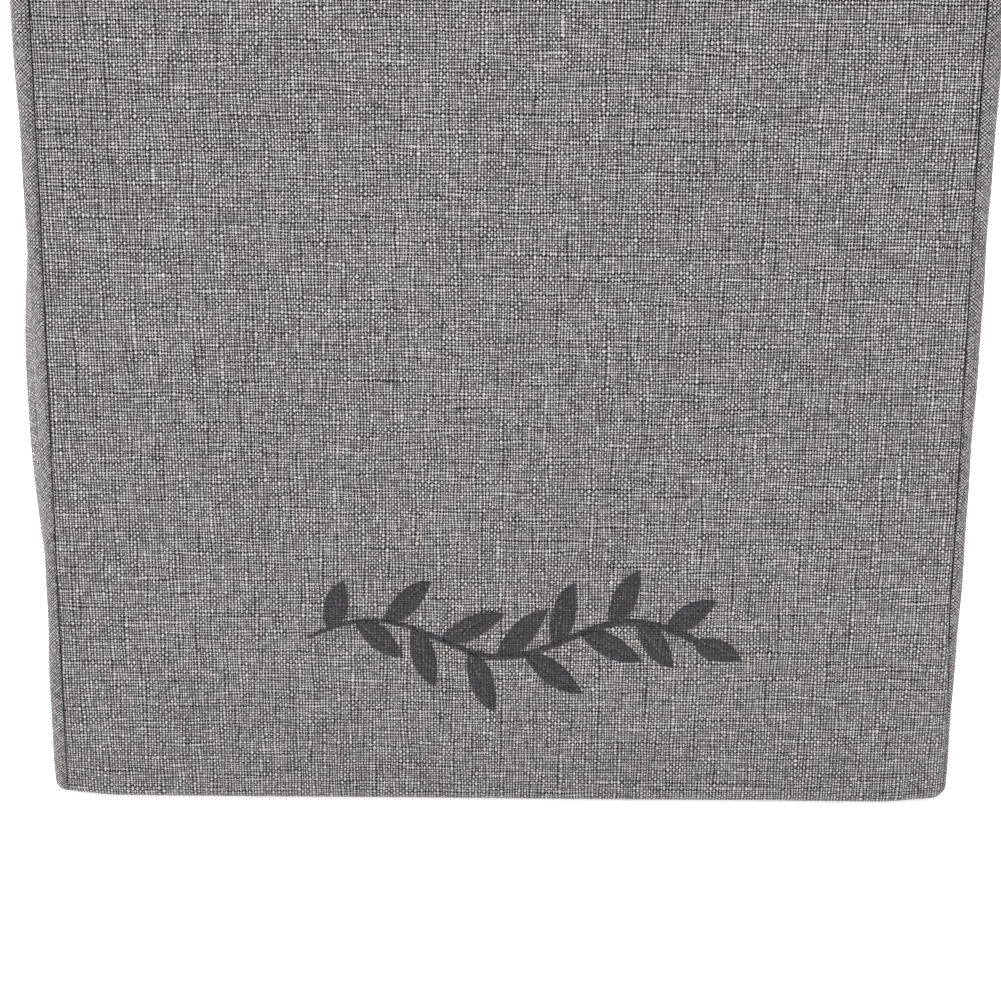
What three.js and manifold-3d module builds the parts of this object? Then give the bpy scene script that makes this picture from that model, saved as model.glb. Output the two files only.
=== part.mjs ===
// A fold-flat laundry hamper: cloth-covered board walls standing on a soft bottom,
// a skirted flip lid, a lift-up base insert and two rope handles.
// Millimetres. x runs to the right, y to the back, z up; the floor is z = 0.

import * as THREE from 'three';
import { mergeVertices } from 'three/addons/utils/BufferGeometryUtils.js';
import Module from 'manifold-3d';

const wasm = await Module();
wasm.setup();

// ---------------------------------------------------------------- driving sizes

const bodyWidth = 400;
const bodyDepth = 300;
const bodyHeight = 600;

const gap = 0.3;                // between pieces that touch on the real hamper
const overshoot = 1;            // how far a cutting tool runs past what it cuts
const coverThickness = 1.2;     // outer cloth
const boardThickness = 3;
const liningThickness = 0.8;
const bindingThickness = 0.8;   // tape folded over every rim
const bindingHeight = 12;

const weltWidth = 8;            // corner welt, seen from the front
const weltDepth = 15;           // corner welt, seen from the side
const cornerRadius = 7;

const foldClearance = 0.5;      // between a folded half and the welt beside it

const panHeight = 9;            // soft bottom: rim height, lip and floor
const panLip = 6;
const panFloor = 1.2;

const baseSidePlay = 4;         // base insert within the bottom's lips, both sides together
const baseFoldClearance = 2;    // raised base insert to the folded side walls' grommets
const ribbonWidth = 30;
const ribbonLength = 34;
const ribbonInset = 6;          // from the base insert's front edge

const lidGap = 0.4;             // lid lining above the rims
const skirtThickness = 3;
const skirtDrop = 28;           // how far the skirt hangs below the rims
const patchThickness = 0.9;     // each half of the hook-and-loop fastening
const patchWidth = 44;
const patchHeight = 11;
const patchSpread = 115;
const patchDrop = 2;            // below the rim binding
const tabWidth = 26;
const tabLength = 24;
const tabThickness = 1.6;
const hingeTapeHeight = 32;

const handleDrop = 100;         // grommets, below the rims
const handleSpread = 45;        // grommets, each side of the crease
const ropeDiameter = 9;
const ropePlay = 1.1;           // rope to grommet bore
const grommetWall = 1.4;
const grommetFlange = 5;
const flangeThickness = 1.2;
const knotRadius = 11;

const sprigWidth = 202;         // heat-transfer print on the front
const sprigMiddle = 80;         // height of its middle above the floor
const stemWidth = 3;
const stemWave = 8.5;
const stemWaves = 1.5;
const stemSteps = 36;
const leafLength = 32;
const leafWidth = 10;
const leafLean = 0.85;          // radians, off the stem
const leafCount = 13;
const filmThickness = 0.4;

// ---------------------------------------------------------------- derived sizes

const halfWidth = bodyWidth / 2;
const halfDepth = bodyDepth / 2;
const boardNear = coverThickness + gap;
const liningNear = boardNear + boardThickness + gap;
const wallThickness = liningNear + liningThickness;
const wallBottom = panHeight + gap;
const wallTop = bodyHeight - bindingThickness - gap;
const bindingStandoff = bindingThickness + gap;
const flangeStandoff = flangeThickness + gap;

const hingeInset = weltDepth + bindingStandoff + foldClearance;   // corner fold axes
const sideNear = gap;                                             // half wall at the crease
const sideFar = halfDepth - hingeInset - gap;                     // half wall at the corner

const patchNear = gap;                                            // loop patch, off the cover
const hookNear = patchNear + patchThickness + gap;
const skirtNear = hookNear + patchThickness + gap;
const lidBottom = bodyHeight + lidGap;
const lidTop = lidBottom + wallThickness;
const skirtTop = lidTop - coverThickness - gap;
const skirtBottom = bodyHeight - skirtDrop;

const handleHeight = bodyHeight - handleDrop;
const boreRadius = ropeDiameter / 2 + ropePlay;
const sleeveRadius = boreRadius + grommetWall;
const flangeRadius = sleeveRadius + grommetFlange;

// ---------------------------------------------------------------- materials

const cloth = (color) => new THREE.MeshStandardMaterial({ color, roughness: 0.95 });
const linen = cloth(0x868382);
const lining = cloth(0xd8d6d2);
const board = cloth(0xb9a98c);
const tape = cloth(0x6f6c6b);
const hookAndLoop = cloth(0x77757a);
const rope = cloth(0xe3ddcf);
const film = new THREE.MeshStandardMaterial({ color: 0x383637, roughness: 0.6 });
const steel = new THREE.MeshStandardMaterial({ color: 0xb8bac0, roughness: 0.25, metalness: 1 });

// ---------------------------------------------------------------- building blocks

const hamper = new THREE.Group();
hamper.name = 'laundry_hamper';

function add(name, geometry, material) {
  const mesh = new THREE.Mesh(geometry, material);
  mesh.name = name;
  hamper.add(mesh);
}

function solid(geometry) {
  const bare = geometry.clone();
  bare.deleteAttribute('normal');
  bare.deleteAttribute('uv');
  const merged = mergeVertices(bare, 1e-4);
  return new wasm.Manifold(new wasm.Mesh({
    numProp: 3,
    vertProperties: new Float32Array(merged.attributes.position.array),
    triVerts: new Uint32Array(merged.index.array),
  }));
}

function geometryOf(manifold) {
  const mesh = manifold.getMesh();
  const geometry = new THREE.BufferGeometry();
  geometry.setAttribute('position', new THREE.BufferAttribute(mesh.vertProperties, 3));
  geometry.setIndex(new THREE.BufferAttribute(mesh.triVerts, 1));
  geometry.computeVertexNormals();
  return geometry;
}

const cut = (whole, ...tools) =>
  geometryOf(tools.reduce((left, tool) => left.subtract(solid(tool)), solid(whole)));

const join = (...pieces) =>
  geometryOf(pieces.slice(1).reduce((sum, piece) => sum.add(solid(piece)), solid(pieces[0])));

function box(x0, x1, y0, y1, z0, z1) {
  const geometry = new THREE.BoxGeometry(x1 - x0, y1 - y0, z1 - z0);
  return geometry.translate((x0 + x1) / 2, (y0 + y1) / 2, (z0 + z1) / 2);
}

// A place on a wall: u along it, w inwards from its outer face.
const onWall = {
  front: (u, w) => [u, w - halfDepth],
  back: (u, w) => [u, halfDepth - w],
  left: (u, w) => [w - halfWidth, u],
  right: (u, w) => [halfWidth - w, u],
};

function slab(side, u0, u1, w0, w1, z0, z1) {
  const [xa, ya] = onWall[side](u0, w0);
  const [xb, yb] = onWall[side](u1, w1);
  return box(Math.min(xa, xb), Math.max(xa, xb), Math.min(ya, yb), Math.max(ya, yb), z0, z1);
}

function roundedRectangle(x0, x1, y0, y1, radii) {
  const [frontLeft, frontRight, backRight, backLeft] = radii;
  const shape = new THREE.Shape();
  shape.moveTo(x0 + frontLeft, y0);
  shape.lineTo(x1 - frontRight, y0);
  if (frontRight) shape.absarc(x1 - frontRight, y0 + frontRight, frontRight, -Math.PI / 2, 0);
  shape.lineTo(x1, y1 - backRight);
  if (backRight) shape.absarc(x1 - backRight, y1 - backRight, backRight, 0, Math.PI / 2);
  shape.lineTo(x0 + backLeft, y1);
  if (backLeft) shape.absarc(x0 + backLeft, y1 - backLeft, backLeft, Math.PI / 2, Math.PI);
  shape.lineTo(x0, y0 + frontLeft);
  if (frontLeft) shape.absarc(x0 + frontLeft, y0 + frontLeft, frontLeft, Math.PI, 1.5 * Math.PI);
  return shape;
}

function upright(shape, z0, z1) {
  const options = { depth: z1 - z0, bevelEnabled: false, curveSegments: 6 };
  return new THREE.ExtrudeGeometry(shape, options).translate(0, 0, z0);
}

// ---------------------------------------------------------------- walls

// Cover, board and lining from u0 to u1, with the tape over their top edge.
// A grommet hole goes through all three at holeAt.
function wall(name, side, u0, u1, holeAt) {
  const hole = holeAt === undefined ? [] : [grommetHole(side, holeAt)];
  const layers = [
    ['cover', 0, coverThickness, linen],
    ['board', boardNear, boardNear + boardThickness, board],
    ['lining', liningNear, wallThickness, lining],
  ];
  for (const [layer, w0, w1, material] of layers) {
    const sheet = slab(side, u0, u1, w0, w1, wallBottom, wallTop);
    add(`${name}_${layer}`, hole.length ? cut(sheet, ...hole) : sheet, material);
  }
  add(`${name}_rim_binding`, cut(
    slab(side, u0, u1, -bindingStandoff, wallThickness + bindingStandoff,
      bodyHeight - bindingHeight, bodyHeight),
    slab(side, u0 - overshoot, u1 + overshoot, -gap, wallThickness + gap,
      bodyHeight - bindingHeight - overshoot, wallTop + gap),
  ), tape);
}

function grommetHole(side, u) {
  const hole = new THREE.CylinderGeometry(
    sleeveRadius + gap, sleeveRadius + gap, 3 * wallThickness, 32);
  const [x, y] = onWall[side](u, wallThickness / 2);
  return hole.rotateZ(Math.PI / 2).translate(x, y, handleHeight);
}

// Two flanges on one sleeve, turned about the hole's axis.
function grommet(side, u) {
  const inner = wallThickness + gap;
  const profile = [
    [boreRadius, -flangeStandoff], [flangeRadius, -flangeStandoff], [flangeRadius, -gap],
    [sleeveRadius, -gap], [sleeveRadius, inner], [flangeRadius, inner],
    [flangeRadius, inner + flangeThickness], [boreRadius, inner + flangeThickness],
    [boreRadius, -flangeStandoff],
  ].map(([r, w]) => new THREE.Vector2(r, w));
  const turned = new THREE.LatheGeometry(profile, 32);
  const [x, y] = onWall[side](u, 0);
  return turned.rotateZ(side === 'left' ? -Math.PI / 2 : Math.PI / 2)
    .translate(x, y, handleHeight);
}

const panelHalf = halfWidth - weltWidth - gap;
wall('back', 'back', -panelHalf, panelHalf);
wall('front', 'front', -panelHalf, panelHalf);
for (const side of ['left', 'right']) {
  wall(`${side}_rear`, side, sideNear, sideFar, handleSpread);
  wall(`${side}_fore`, side, -sideFar, -sideNear, -handleSpread);
  add(`${side}_rear_grommet`, grommet(side, handleSpread), steel);
  add(`${side}_fore_grommet`, grommet(side, -handleSpread), steel);
}

// A welt fills each corner between a side wall and the front or back panel.
for (const [across, sx] of [['left', -1], ['right', 1]]) {
  for (const [along, sy] of [['front', -1], ['back', 1]]) {
    const x = [sx * halfWidth, sx * (halfWidth - weltWidth)].sort((a, b) => a - b);
    const y = [sy * halfDepth, sy * (halfDepth - weltDepth)].sort((a, b) => a - b);
    const radii = [[-1, -1], [1, -1], [1, 1], [-1, 1]]
      .map(([cx, cy]) => (cx === sx && cy === sy ? cornerRadius : 0));
    add(`${along}_${across}_welt`,
      upright(roundedRectangle(...x, ...y, radii), wallBottom, bodyHeight), linen);
  }
}

// ---------------------------------------------------------------- soft bottom and base insert

const everyCorner = Array(4).fill(cornerRadius);
add('bottom_pan', cut(
  upright(roundedRectangle(-halfWidth, halfWidth, -halfDepth, halfDepth, everyCorner),
    0, panHeight),
  box(panLip - halfWidth, halfWidth - panLip, panLip - halfDepth, halfDepth - panLip,
    panFloor, panHeight + overshoot),
), linen);

// Lifted on its rear edge, the insert stands between the back wall and the folded sides.
const baseHalf = halfWidth - Math.max(panLip, weltWidth) - baseSidePlay / 2;
const baseFront = panLip + baseSidePlay / 2 - halfDepth;
const baseBack = halfDepth - hingeInset + flangeStandoff + baseFoldClearance;
const baseLayer = (x, y0, y1, z0, thickness) => box(-x, x, y0, y1, z0, z0 + thickness);
const baseBottom = panFloor + gap;
const baseCoverBottom = baseBottom + boardThickness + gap;
const ribbonBottom = baseCoverBottom + liningThickness + gap;
const ribbonFront = baseFront + ribbonInset;
add('base_board', baseLayer(baseHalf, baseFront, baseBack, baseBottom, boardThickness), board);
add('base_cover',
  baseLayer(baseHalf, baseFront, baseBack, baseCoverBottom, liningThickness), lining);
add('base_pull_ribbon',
  baseLayer(ribbonWidth / 2, ribbonFront, ribbonFront + ribbonLength, ribbonBottom,
    bindingThickness), tape);

// ---------------------------------------------------------------- lid

const skirtOut = skirtNear + skirtThickness;
const lidEdge = halfWidth + skirtOut;
const lidFront = -halfDepth - skirtOut;
add('lid_cover_top',
  box(-lidEdge, lidEdge, lidFront, halfDepth, lidTop - coverThickness, lidTop), linen);
const lidInner = halfWidth + skirtNear - gap;
const lidSheet = (z0, z1) =>
  box(-lidInner, lidInner, gap - halfDepth - skirtNear, halfDepth - gap, z0, z1);
add('lid_lining', lidSheet(lidBottom, lidBottom + liningThickness), lining);
add('lid_board',
  lidSheet(lidBottom + liningThickness + gap, lidBottom + liningThickness + gap + boardThickness),
  board);
add('lid_skirt_front',
  box(-lidEdge, lidEdge, lidFront, lidFront + skirtThickness, skirtBottom, skirtTop), linen);
for (const side of ['left', 'right']) {
  add(`lid_skirt_${side}`,
    slab(side, lidFront + skirtThickness + gap, halfDepth, -skirtOut, -skirtNear,
      skirtBottom, skirtTop), linen);
}

// The pull tab hangs from the skirt's lower edge.
const tabFront = lidFront + (skirtThickness - tabThickness) / 2;
add('lid_pull_tab',
  box(-tabWidth / 2, tabWidth / 2, tabFront, tabFront + tabThickness,
    skirtBottom - gap - tabLength, skirtBottom - gap), tape);

// Loop patches are sewn to the front cover, hook patches to the skirt's inside.
const patchTop = bodyHeight - bindingHeight - patchDrop;
for (const [side, sx] of [['left', -1], ['right', 1]]) {
  const u0 = sx * patchSpread - patchWidth / 2;
  const patch = (near) => slab('front', u0, u0 + patchWidth, -near - patchThickness, -near,
    patchTop - patchHeight, patchTop);
  add(`${side}_loop_patch`, patch(patchNear), hookAndLoop);
  add(`${side}_hook_patch`, patch(hookNear), hookAndLoop);
}

// The lid turns on a strip of tape sewn along the back wall's top.
add('lid_hinge_tape',
  slab('back', -panelHalf, panelHalf, -bindingStandoff, -gap,
    bodyHeight - bindingHeight - gap - hingeTapeHeight, bodyHeight - bindingHeight - gap), tape);

// ---------------------------------------------------------------- rope handles

// Half a handle: out from the wall's face, share of the spread, drop below the grommet.
const innerFlange = wallThickness + flangeStandoff;
const ropeRoute = [
  [-(innerFlange + 0.5 + knotRadius), 1, 0], [0, 1, 0],
  [6.9, 1, 1.4], [12.7, 1, 5.3], [16.6, 1, 11.1], [18, 1, 18],
  [17.6, 0.99, 36], [16.2, 0.91, 56], [14.2, 0.7, 75], [12.8, 0.37, 88], [12.3, 0, 92],
];

function handle(side) {
  const at = ([out, share, drop], sign) => {
    const [x, y] = onWall[side](sign * share * handleSpread, -out);
    return new THREE.Vector3(x, y, handleHeight - drop);
  };
  const route = [
    ...ropeRoute.map((point) => at(point, 1)),
    ...ropeRoute.slice(0, -1).reverse().map((point) => at(point, -1)),
  ];
  const section = new THREE.Shape().absarc(0, 0, ropeDiameter / 2, 0, 2 * Math.PI);
  const cord = new THREE.ExtrudeGeometry(section, {
    steps: 80, curveSegments: 6, bevelEnabled: false,
    extrudePath: new THREE.CatmullRomCurve3(route, false, 'centripetal'),
  });
  const knots = [route[0], route[route.length - 1]].map((end) =>
    new THREE.SphereGeometry(knotRadius, 16, 10).translate(end.x, end.y, end.z));
  return join(cord, ...knots);
}
for (const side of ['left', 'right']) add(`${side}_handle_rope`, handle(side), rope);

// ---------------------------------------------------------------- heat-transfer sprig

// A waving stem that thins towards its start, with leaves to each side in turn.
const stemPoint = (t) => new THREE.Vector2(
  (t - 0.5) * (sprigWidth - leafLength), stemWave * Math.sin(2 * Math.PI * stemWaves * t));

function stemAhead(t) {
  return stemPoint(t + 1e-3).sub(stemPoint(t - 1e-3)).angle();
}

function flat(shape) {
  const options = { depth: filmThickness, bevelEnabled: false, curveSegments: 7 };
  return new THREE.ExtrudeGeometry(shape, options)
    .rotateX(Math.PI / 2).translate(0, -halfDepth - gap, sprigMiddle);
}

function stem() {
  const near = [];
  const far = [];
  for (let i = 0; i <= stemSteps; i += 1) {
    const t = i / stemSteps;
    const across = new THREE.Vector2(0, stemWidth / 2 * (0.4 + 0.6 * Math.sqrt(t)))
      .rotateAround(new THREE.Vector2(), stemAhead(t));
    near.push(stemPoint(t).sub(across));
    far.unshift(stemPoint(t).add(across));
  }
  return flat(new THREE.Shape([...near, ...far]));
}

// A leaf that leans down is the mirror image of one that leans up.
function leaf(t, lean) {
  const length = leafLength * (0.72 + 0.28 * Math.sin(Math.PI * t));   // longest in the middle
  const shape = new THREE.Shape();
  shape.moveTo(0, 0);
  shape.bezierCurveTo(0.25 * length, -leafWidth, 0.7 * length, -0.45 * leafWidth, length, 0);
  shape.bezierCurveTo(0.75 * length, 0.75 * leafWidth, 0.3 * length, 0.6 * leafWidth, 0, 0);
  const root = stemPoint(t);
  const mirror = new THREE.Vector2(1, lean < 0 ? -1 : 1);
  return flat(new THREE.Shape(shape.getPoints(7).slice(0, -1).map((point) =>
    point.multiply(mirror).rotateAround(new THREE.Vector2(), stemAhead(t) + lean).add(root))));
}

const leaves = [leaf(0.995, 0)];
for (let i = 0; i < leafCount; i += 1) {
  leaves.push(leaf(0.05 + 0.87 * i / (leafCount - 1), i % 2 ? -leafLean : leafLean));
}
add('front_transfer', join(stem(), ...leaves), film);

export default hamper;
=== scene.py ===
# %% [markdown]
# # A fold-flat laundry hamper
# The real one is cloth sewn round stiff boards: four walls that fold flat, a soft
# bottom, a loose base insert, a lid with a skirt, and a rope handle on each side.
# The frame below is the measured model. Every piece made here sits where the frame
# says, and most ride on one of its moving bodies.

# %% Load the frame
import math
import bmesh
import bpy
import numpy as np
from mathutils import Matrix, Vector


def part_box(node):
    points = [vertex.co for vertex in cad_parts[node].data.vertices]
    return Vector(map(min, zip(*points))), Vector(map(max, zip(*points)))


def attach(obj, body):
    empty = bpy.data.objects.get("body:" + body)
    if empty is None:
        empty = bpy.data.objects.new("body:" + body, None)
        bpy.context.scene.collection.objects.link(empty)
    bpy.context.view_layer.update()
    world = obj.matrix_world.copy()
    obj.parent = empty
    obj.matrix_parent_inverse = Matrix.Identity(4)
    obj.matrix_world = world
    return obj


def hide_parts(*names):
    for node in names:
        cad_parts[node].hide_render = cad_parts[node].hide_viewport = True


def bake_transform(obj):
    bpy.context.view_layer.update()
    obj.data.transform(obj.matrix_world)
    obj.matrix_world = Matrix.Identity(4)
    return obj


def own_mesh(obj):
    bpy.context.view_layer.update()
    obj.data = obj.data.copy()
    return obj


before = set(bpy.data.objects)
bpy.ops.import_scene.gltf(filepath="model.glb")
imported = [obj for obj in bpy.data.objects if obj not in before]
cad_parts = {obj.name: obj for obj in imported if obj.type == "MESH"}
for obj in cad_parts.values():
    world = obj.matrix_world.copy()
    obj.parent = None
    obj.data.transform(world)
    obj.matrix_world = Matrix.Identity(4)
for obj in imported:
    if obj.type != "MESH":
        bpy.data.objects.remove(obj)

scene = bpy.context.scene
MM = 0.001
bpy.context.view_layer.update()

# %% [markdown]
# ## The camera
# The camera stands a little above the middle of the hamper and close to its front, with
# a long lens, so that the upright edges stay nearly parallel. A camera is
# turned by three axes: where it looks, what is to its right, and what is up. Writing
# those three into a matrix is clearer than three angles that depend on their order.

# %% Place the camera
FRONT_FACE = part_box("front_cover")[0][1]
STAND_BACK = 0.9734
STAND_ASIDE = 0.00035
EYE_HEIGHT = 0.4853
LOOK_DOWN = math.radians(19.31)
LOOK_ASIDE = math.radians(-0.085)
TILT = math.radians(0.46)
FOCAL_LENGTH = 86.31      # millimetres, with a 36 mm sensor

forward = Vector((math.sin(LOOK_ASIDE) * math.cos(LOOK_DOWN),
                  math.cos(LOOK_ASIDE) * math.cos(LOOK_DOWN),
                  -math.sin(LOOK_DOWN)))
level = Vector((math.cos(LOOK_ASIDE), -math.sin(LOOK_ASIDE), 0))
upright = level.cross(forward)
right = math.cos(TILT) * level + math.sin(TILT) * upright
up = -math.sin(TILT) * level + math.cos(TILT) * upright

lens = bpy.data.cameras.new("studio_camera")
lens.sensor_width = 36
lens.lens = FOCAL_LENGTH
lens.clip_start = 0.01
camera = bpy.data.objects.new("studio_camera", lens)
scene.collection.objects.link(camera)
turn = Matrix((right, up, -forward)).transposed().to_4x4()
place = Vector((STAND_ASIDE, FRONT_FACE - STAND_BACK, EYE_HEIGHT))
camera.matrix_world = Matrix.Translation(place) @ turn
scene.camera = camera
print("camera at", [round(x, 3) for x in place])

# %% [markdown]
# ## Floor and light
# A white studio has a white sweep under the object and large, soft lights.
# A big area light is soft because each point of the cloth sees much of it. The sweep
# is opal acrylic that is lit from below, which thins out the shadow round the base, so
# the floor has a little emission. The Standard view keeps the colours as they are mixed.

# %% Two small helpers
def only(piece):
    """Deselects everything, then selects this piece and makes it the active one."""
    if bpy.context.object and bpy.context.object.mode != "OBJECT":
        bpy.ops.object.mode_set(mode="OBJECT")
    bpy.ops.object.select_all(action="DESELECT")
    piece.select_set(True)
    bpy.context.view_layer.objects.active = piece


def linear(hex_colour):
    """Turns an sRGB hex colour into the linear colour that a shader works with."""
    parts = [int(hex_colour[i:i + 2], 16) / 255 for i in (1, 3, 5)]
    bent = [p / 12.92 if p <= 0.04045 else ((p + 0.055) / 1.055) ** 2.4 for p in parts]
    return (*bent, 1.0)


# %% Shader nodes
def node(tree, kind, *inputs, named=None, **settings):
    """Adds one shader node with its settings. An input is a number, a colour, a socket or
    a node. Inputs go in by order or by name, and None leaves one as it is."""
    made = tree.nodes.new("ShaderNode" + kind)
    for key, value in settings.items():
        setattr(made, key, value)
    for key, value in [*enumerate(inputs), *(named or {}).items()]:
        if isinstance(value, bpy.types.Node):
            value = next(socket for socket in value.outputs if socket.enabled)
        if isinstance(value, bpy.types.NodeSocket):
            tree.links.new(value, made.inputs[key])
        elif value is not None:
            made.inputs[key].default_value = value
    return made


def finish_named(name):
    """A new material with an empty node tree, and its output node."""
    made = bpy.data.materials.new(name)
    made.use_nodes = True
    made.node_tree.nodes.clear()
    return made, made.node_tree, node(made.node_tree, "OutputMaterial")


# %% The white sweep
FLOOR_DROP = 0.0004       # keeps the floor clear of the cloth that rests on it
FLOOR_GLOW = 0.62
bpy.ops.object.select_all(action="DESELECT")
bpy.ops.mesh.primitive_plane_add(size=12, location=(0, 0, -FLOOR_DROP))
floor = bpy.context.object
floor.name = "studio_floor"

sweep, tree, out = finish_named("opal_acrylic_sweep")
opal = node(tree, "BsdfPrincipled",
            named={"Base Color": linear("#ffffff"), "Roughness": 0.9,
                   "Emission Color": (1, 1, 1, 1), "Emission Strength": FLOOR_GLOW})
tree.links.new(opal.outputs["BSDF"], out.inputs["Surface"])
floor.data.materials.append(sweep)
print("floor:", floor.name, "with", sweep.name)

# %% The room and four softboxes
ROOM_LIGHT = 0.85
MIDDLE = Vector((0, 0, 0.3))

world = bpy.data.worlds.new("studio")
scene.world = world
world.use_nodes = True
world.node_tree.nodes["Background"].inputs["Color"].default_value = (1, 1, 1, 1)
world.node_tree.nodes["Background"].inputs["Strength"].default_value = ROOM_LIGHT
scene.view_settings.view_transform = "Standard"


def soft_light(name, place, size, power):
    """A square area light of that size that faces the middle of the hamper."""
    bpy.ops.object.light_add(type="AREA", location=place)
    light = bpy.context.object
    light.name = name
    light.data.size = size
    light.data.energy = power
    aim = MIDDLE - Vector(place)
    light.rotation_euler = aim.to_track_quat("-Z", "Y").to_euler()
    return light


soft_light("key_softbox", (-1.3, -2.2, 1.9), 1.4, 14)
soft_light("fill_softbox", (1.9, -1.9, 1.4), 1.4, 8)
soft_light("side_softbox", (-2.4, -0.1, 0.9), 1.3, 24)
soft_light("top_softbox", (0, 0.3, 3.0), 2.2, 34)

# %% [markdown]
# ## The rope handles
# Each handle is one length of laid cotton rope, three strands twisted together. It
# comes through an eyelet, bends down under its own weight, swings across and goes back
# in at the other eyelet, with a knot behind each. The route is a list of a few points,
# rounded into one smooth curve. Sweeping one fat tube would look like hose, so three
# thin tubes wind round that curve instead.

# %% The route of a handle
HALF_WIDTH = 0.200
HANDLE_HEIGHT = 0.500
HANDLE_SPREAD = 0.045
# Millimetres out from the wall, share of the spread, and millimetres of drop.
DOWN_ONE_SIDE = [
    (-18.6, 1, 0), (0, 1, 0), (6.9, 1, 1.4), (12.7, 1, 5.3), (16.6, 1, 11.1), (18, 1, 18),
    (17.6, 0.99, 36), (16.2, 0.91, 56), (14.2, 0.7, 75), (12.8, 0.37, 88), (12.3, 0, 92),
]


def handle_route(side):
    """The route's points on one side of the hamper: -1 is left and 1 is right."""
    near = [(side * (HALF_WIDTH + o * MM), -side * share * HANDLE_SPREAD,
             HANDLE_HEIGHT - drop * MM) for o, share, drop in DOWN_ONE_SIDE]
    far = [(x, -y, z) for x, y, z in reversed(near[:-1])]
    return near + far


# %% Round a route off
def smooth_route(points, steps=12):
    """A centripetal Catmull-Rom curve through the points, which never overshoots."""
    p = [np.array(q, float) for q in points]
    p = [2 * p[0] - p[1]] + p + [2 * p[-1] - p[-2]]
    line = []
    for a, b, c, d in zip(p, p[1:], p[2:], p[3:]):
        t0, t1 = 0.0, math.sqrt(np.linalg.norm(b - a))
        t2 = t1 + math.sqrt(np.linalg.norm(c - b))
        t3 = t2 + math.sqrt(np.linalg.norm(d - c))
        for t in np.linspace(t1, t2, steps, endpoint=False):
            ab = (t1 - t) / (t1 - t0) * a + (t - t0) / (t1 - t0) * b
            bc = (t2 - t) / (t2 - t1) * b + (t - t1) / (t2 - t1) * c
            cd = (t3 - t) / (t3 - t2) * c + (t - t2) / (t3 - t2) * d
            abc = (t2 - t) / (t2 - t0) * ab + (t - t0) / (t2 - t0) * bc
            bcd = (t3 - t) / (t3 - t1) * bc + (t - t1) / (t3 - t1) * cd
            line.append((t2 - t) / (t2 - t1) * abc + (t - t1) / (t2 - t1) * bcd)
    line.append(p[-2])
    return np.array(line)


# %% Space a line's points and carry directions along it
def evenly(line, gap):
    """The same curve with its points a fixed distance apart, and where each one lies."""
    along = np.r_[0, np.cumsum(np.linalg.norm(np.diff(line, axis=0), axis=1))]
    count = max(3, int(round(along[-1] / gap)) + 1)
    stops = np.linspace(0, along[-1], count)
    return np.stack([np.interp(stops, along, line[:, i]) for i in range(3)], axis=1), stops


def carried_frames(line):
    """A pair of cross directions at each point, carried along without twisting."""
    ahead = np.gradient(line, axis=0)
    ahead /= np.linalg.norm(ahead, axis=1)[:, None]
    # Any direction will do to start from that the line doesn't set out along.
    across = np.cross(ahead[0], (0.3, 0.9, 0.2))
    first = []
    for tangent in ahead:
        across = across - tangent * across.dot(tangent)
        across = across / np.linalg.norm(across)
        first.append(across)
    first = np.array(first)
    return first, np.cross(ahead, first)


handle_line, _ = evenly(smooth_route(handle_route(-1)), 0.0012)
handle_length = float(np.linalg.norm(np.diff(handle_line, axis=0), axis=1).sum())

# %% A piece from its points and faces
def mesh_piece(name, points, faces, uv=None):
    """A piece from its points and faces, smooth, with a cloth map if one is given."""
    mesh = bpy.data.meshes.new(name)
    mesh.from_pydata([tuple(q) for q in points], [], faces)
    mesh.update()
    piece = bpy.data.objects.new(name, mesh)
    scene.collection.objects.link(piece)
    mesh.polygons.foreach_set("use_smooth", [True] * len(mesh.polygons))
    if uv is not None:
        layer = mesh.uv_layers.new(name="cloth")
        corners = np.empty(len(mesh.loops), int)
        mesh.loops.foreach_get("vertex_index", corners)
        layer.data.foreach_set("uv", np.asarray(uv, float)[corners].ravel())
    return piece


def tidy_mesh(piece, merge=None):
    """Merges doubled points if a distance is given, and turns the faces outwards."""
    edit = bmesh.new()
    edit.from_mesh(piece.data)
    if merge:
        bmesh.ops.remove_doubles(edit, verts=edit.verts, dist=merge)
    bmesh.ops.recalc_face_normals(edit, faces=edit.faces)
    edit.to_mesh(piece.data)
    edit.free()
    return piece


# %% Lay three strands round the route
STRAND_RADIUS = 0.00225
STRAND_OFFSET = 0.00228
ROPE_LAY = 0.026          # one turn of the strands


def laid_rope(name, line, gap=0.0012, sides=10):
    """Three twisted strands along a line, closed with a point at each end."""
    line, along = evenly(line, gap)
    first, second = carried_frames(line)
    points, uv, faces = [], [], []
    for strand in range(3):
        wind = 2 * math.pi * (along / ROPE_LAY + strand / 3)
        middle = line + STRAND_OFFSET * (np.cos(wind)[:, None] * first
                                         + np.sin(wind)[:, None] * second)
        a, b = carried_frames(middle)
        start = len(points)
        for i in range(len(middle)):
            for k in range(sides + 1):
                turn = 2 * math.pi * k / sides
                points.append(middle[i] + STRAND_RADIUS * (math.cos(turn) * a[i]
                                                           + math.sin(turn) * b[i]))
                uv.append((along[i], turn * STRAND_RADIUS))
        row = sides + 1
        for i in range(len(middle) - 1):
            for k in range(sides):
                q = start + i * row + k
                faces.append((q, q + 1, q + row + 1, q + row))
        for end, flip in ((start, True), (start + (len(middle) - 1) * row, False)):
            cap = list(range(end, end + sides))
            faces.append(cap[::-1] if flip else cap)
    return tidy_mesh(mesh_piece(name, points, faces, uv), merge=1e-7)


# %% The knots behind the eyelets
KNOT_LOBE = 0.00235
KNOT_DEPTH = 0.0036
KNOT_INSET = 0.0155       # from the wall's face to the middle of the knot


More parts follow.
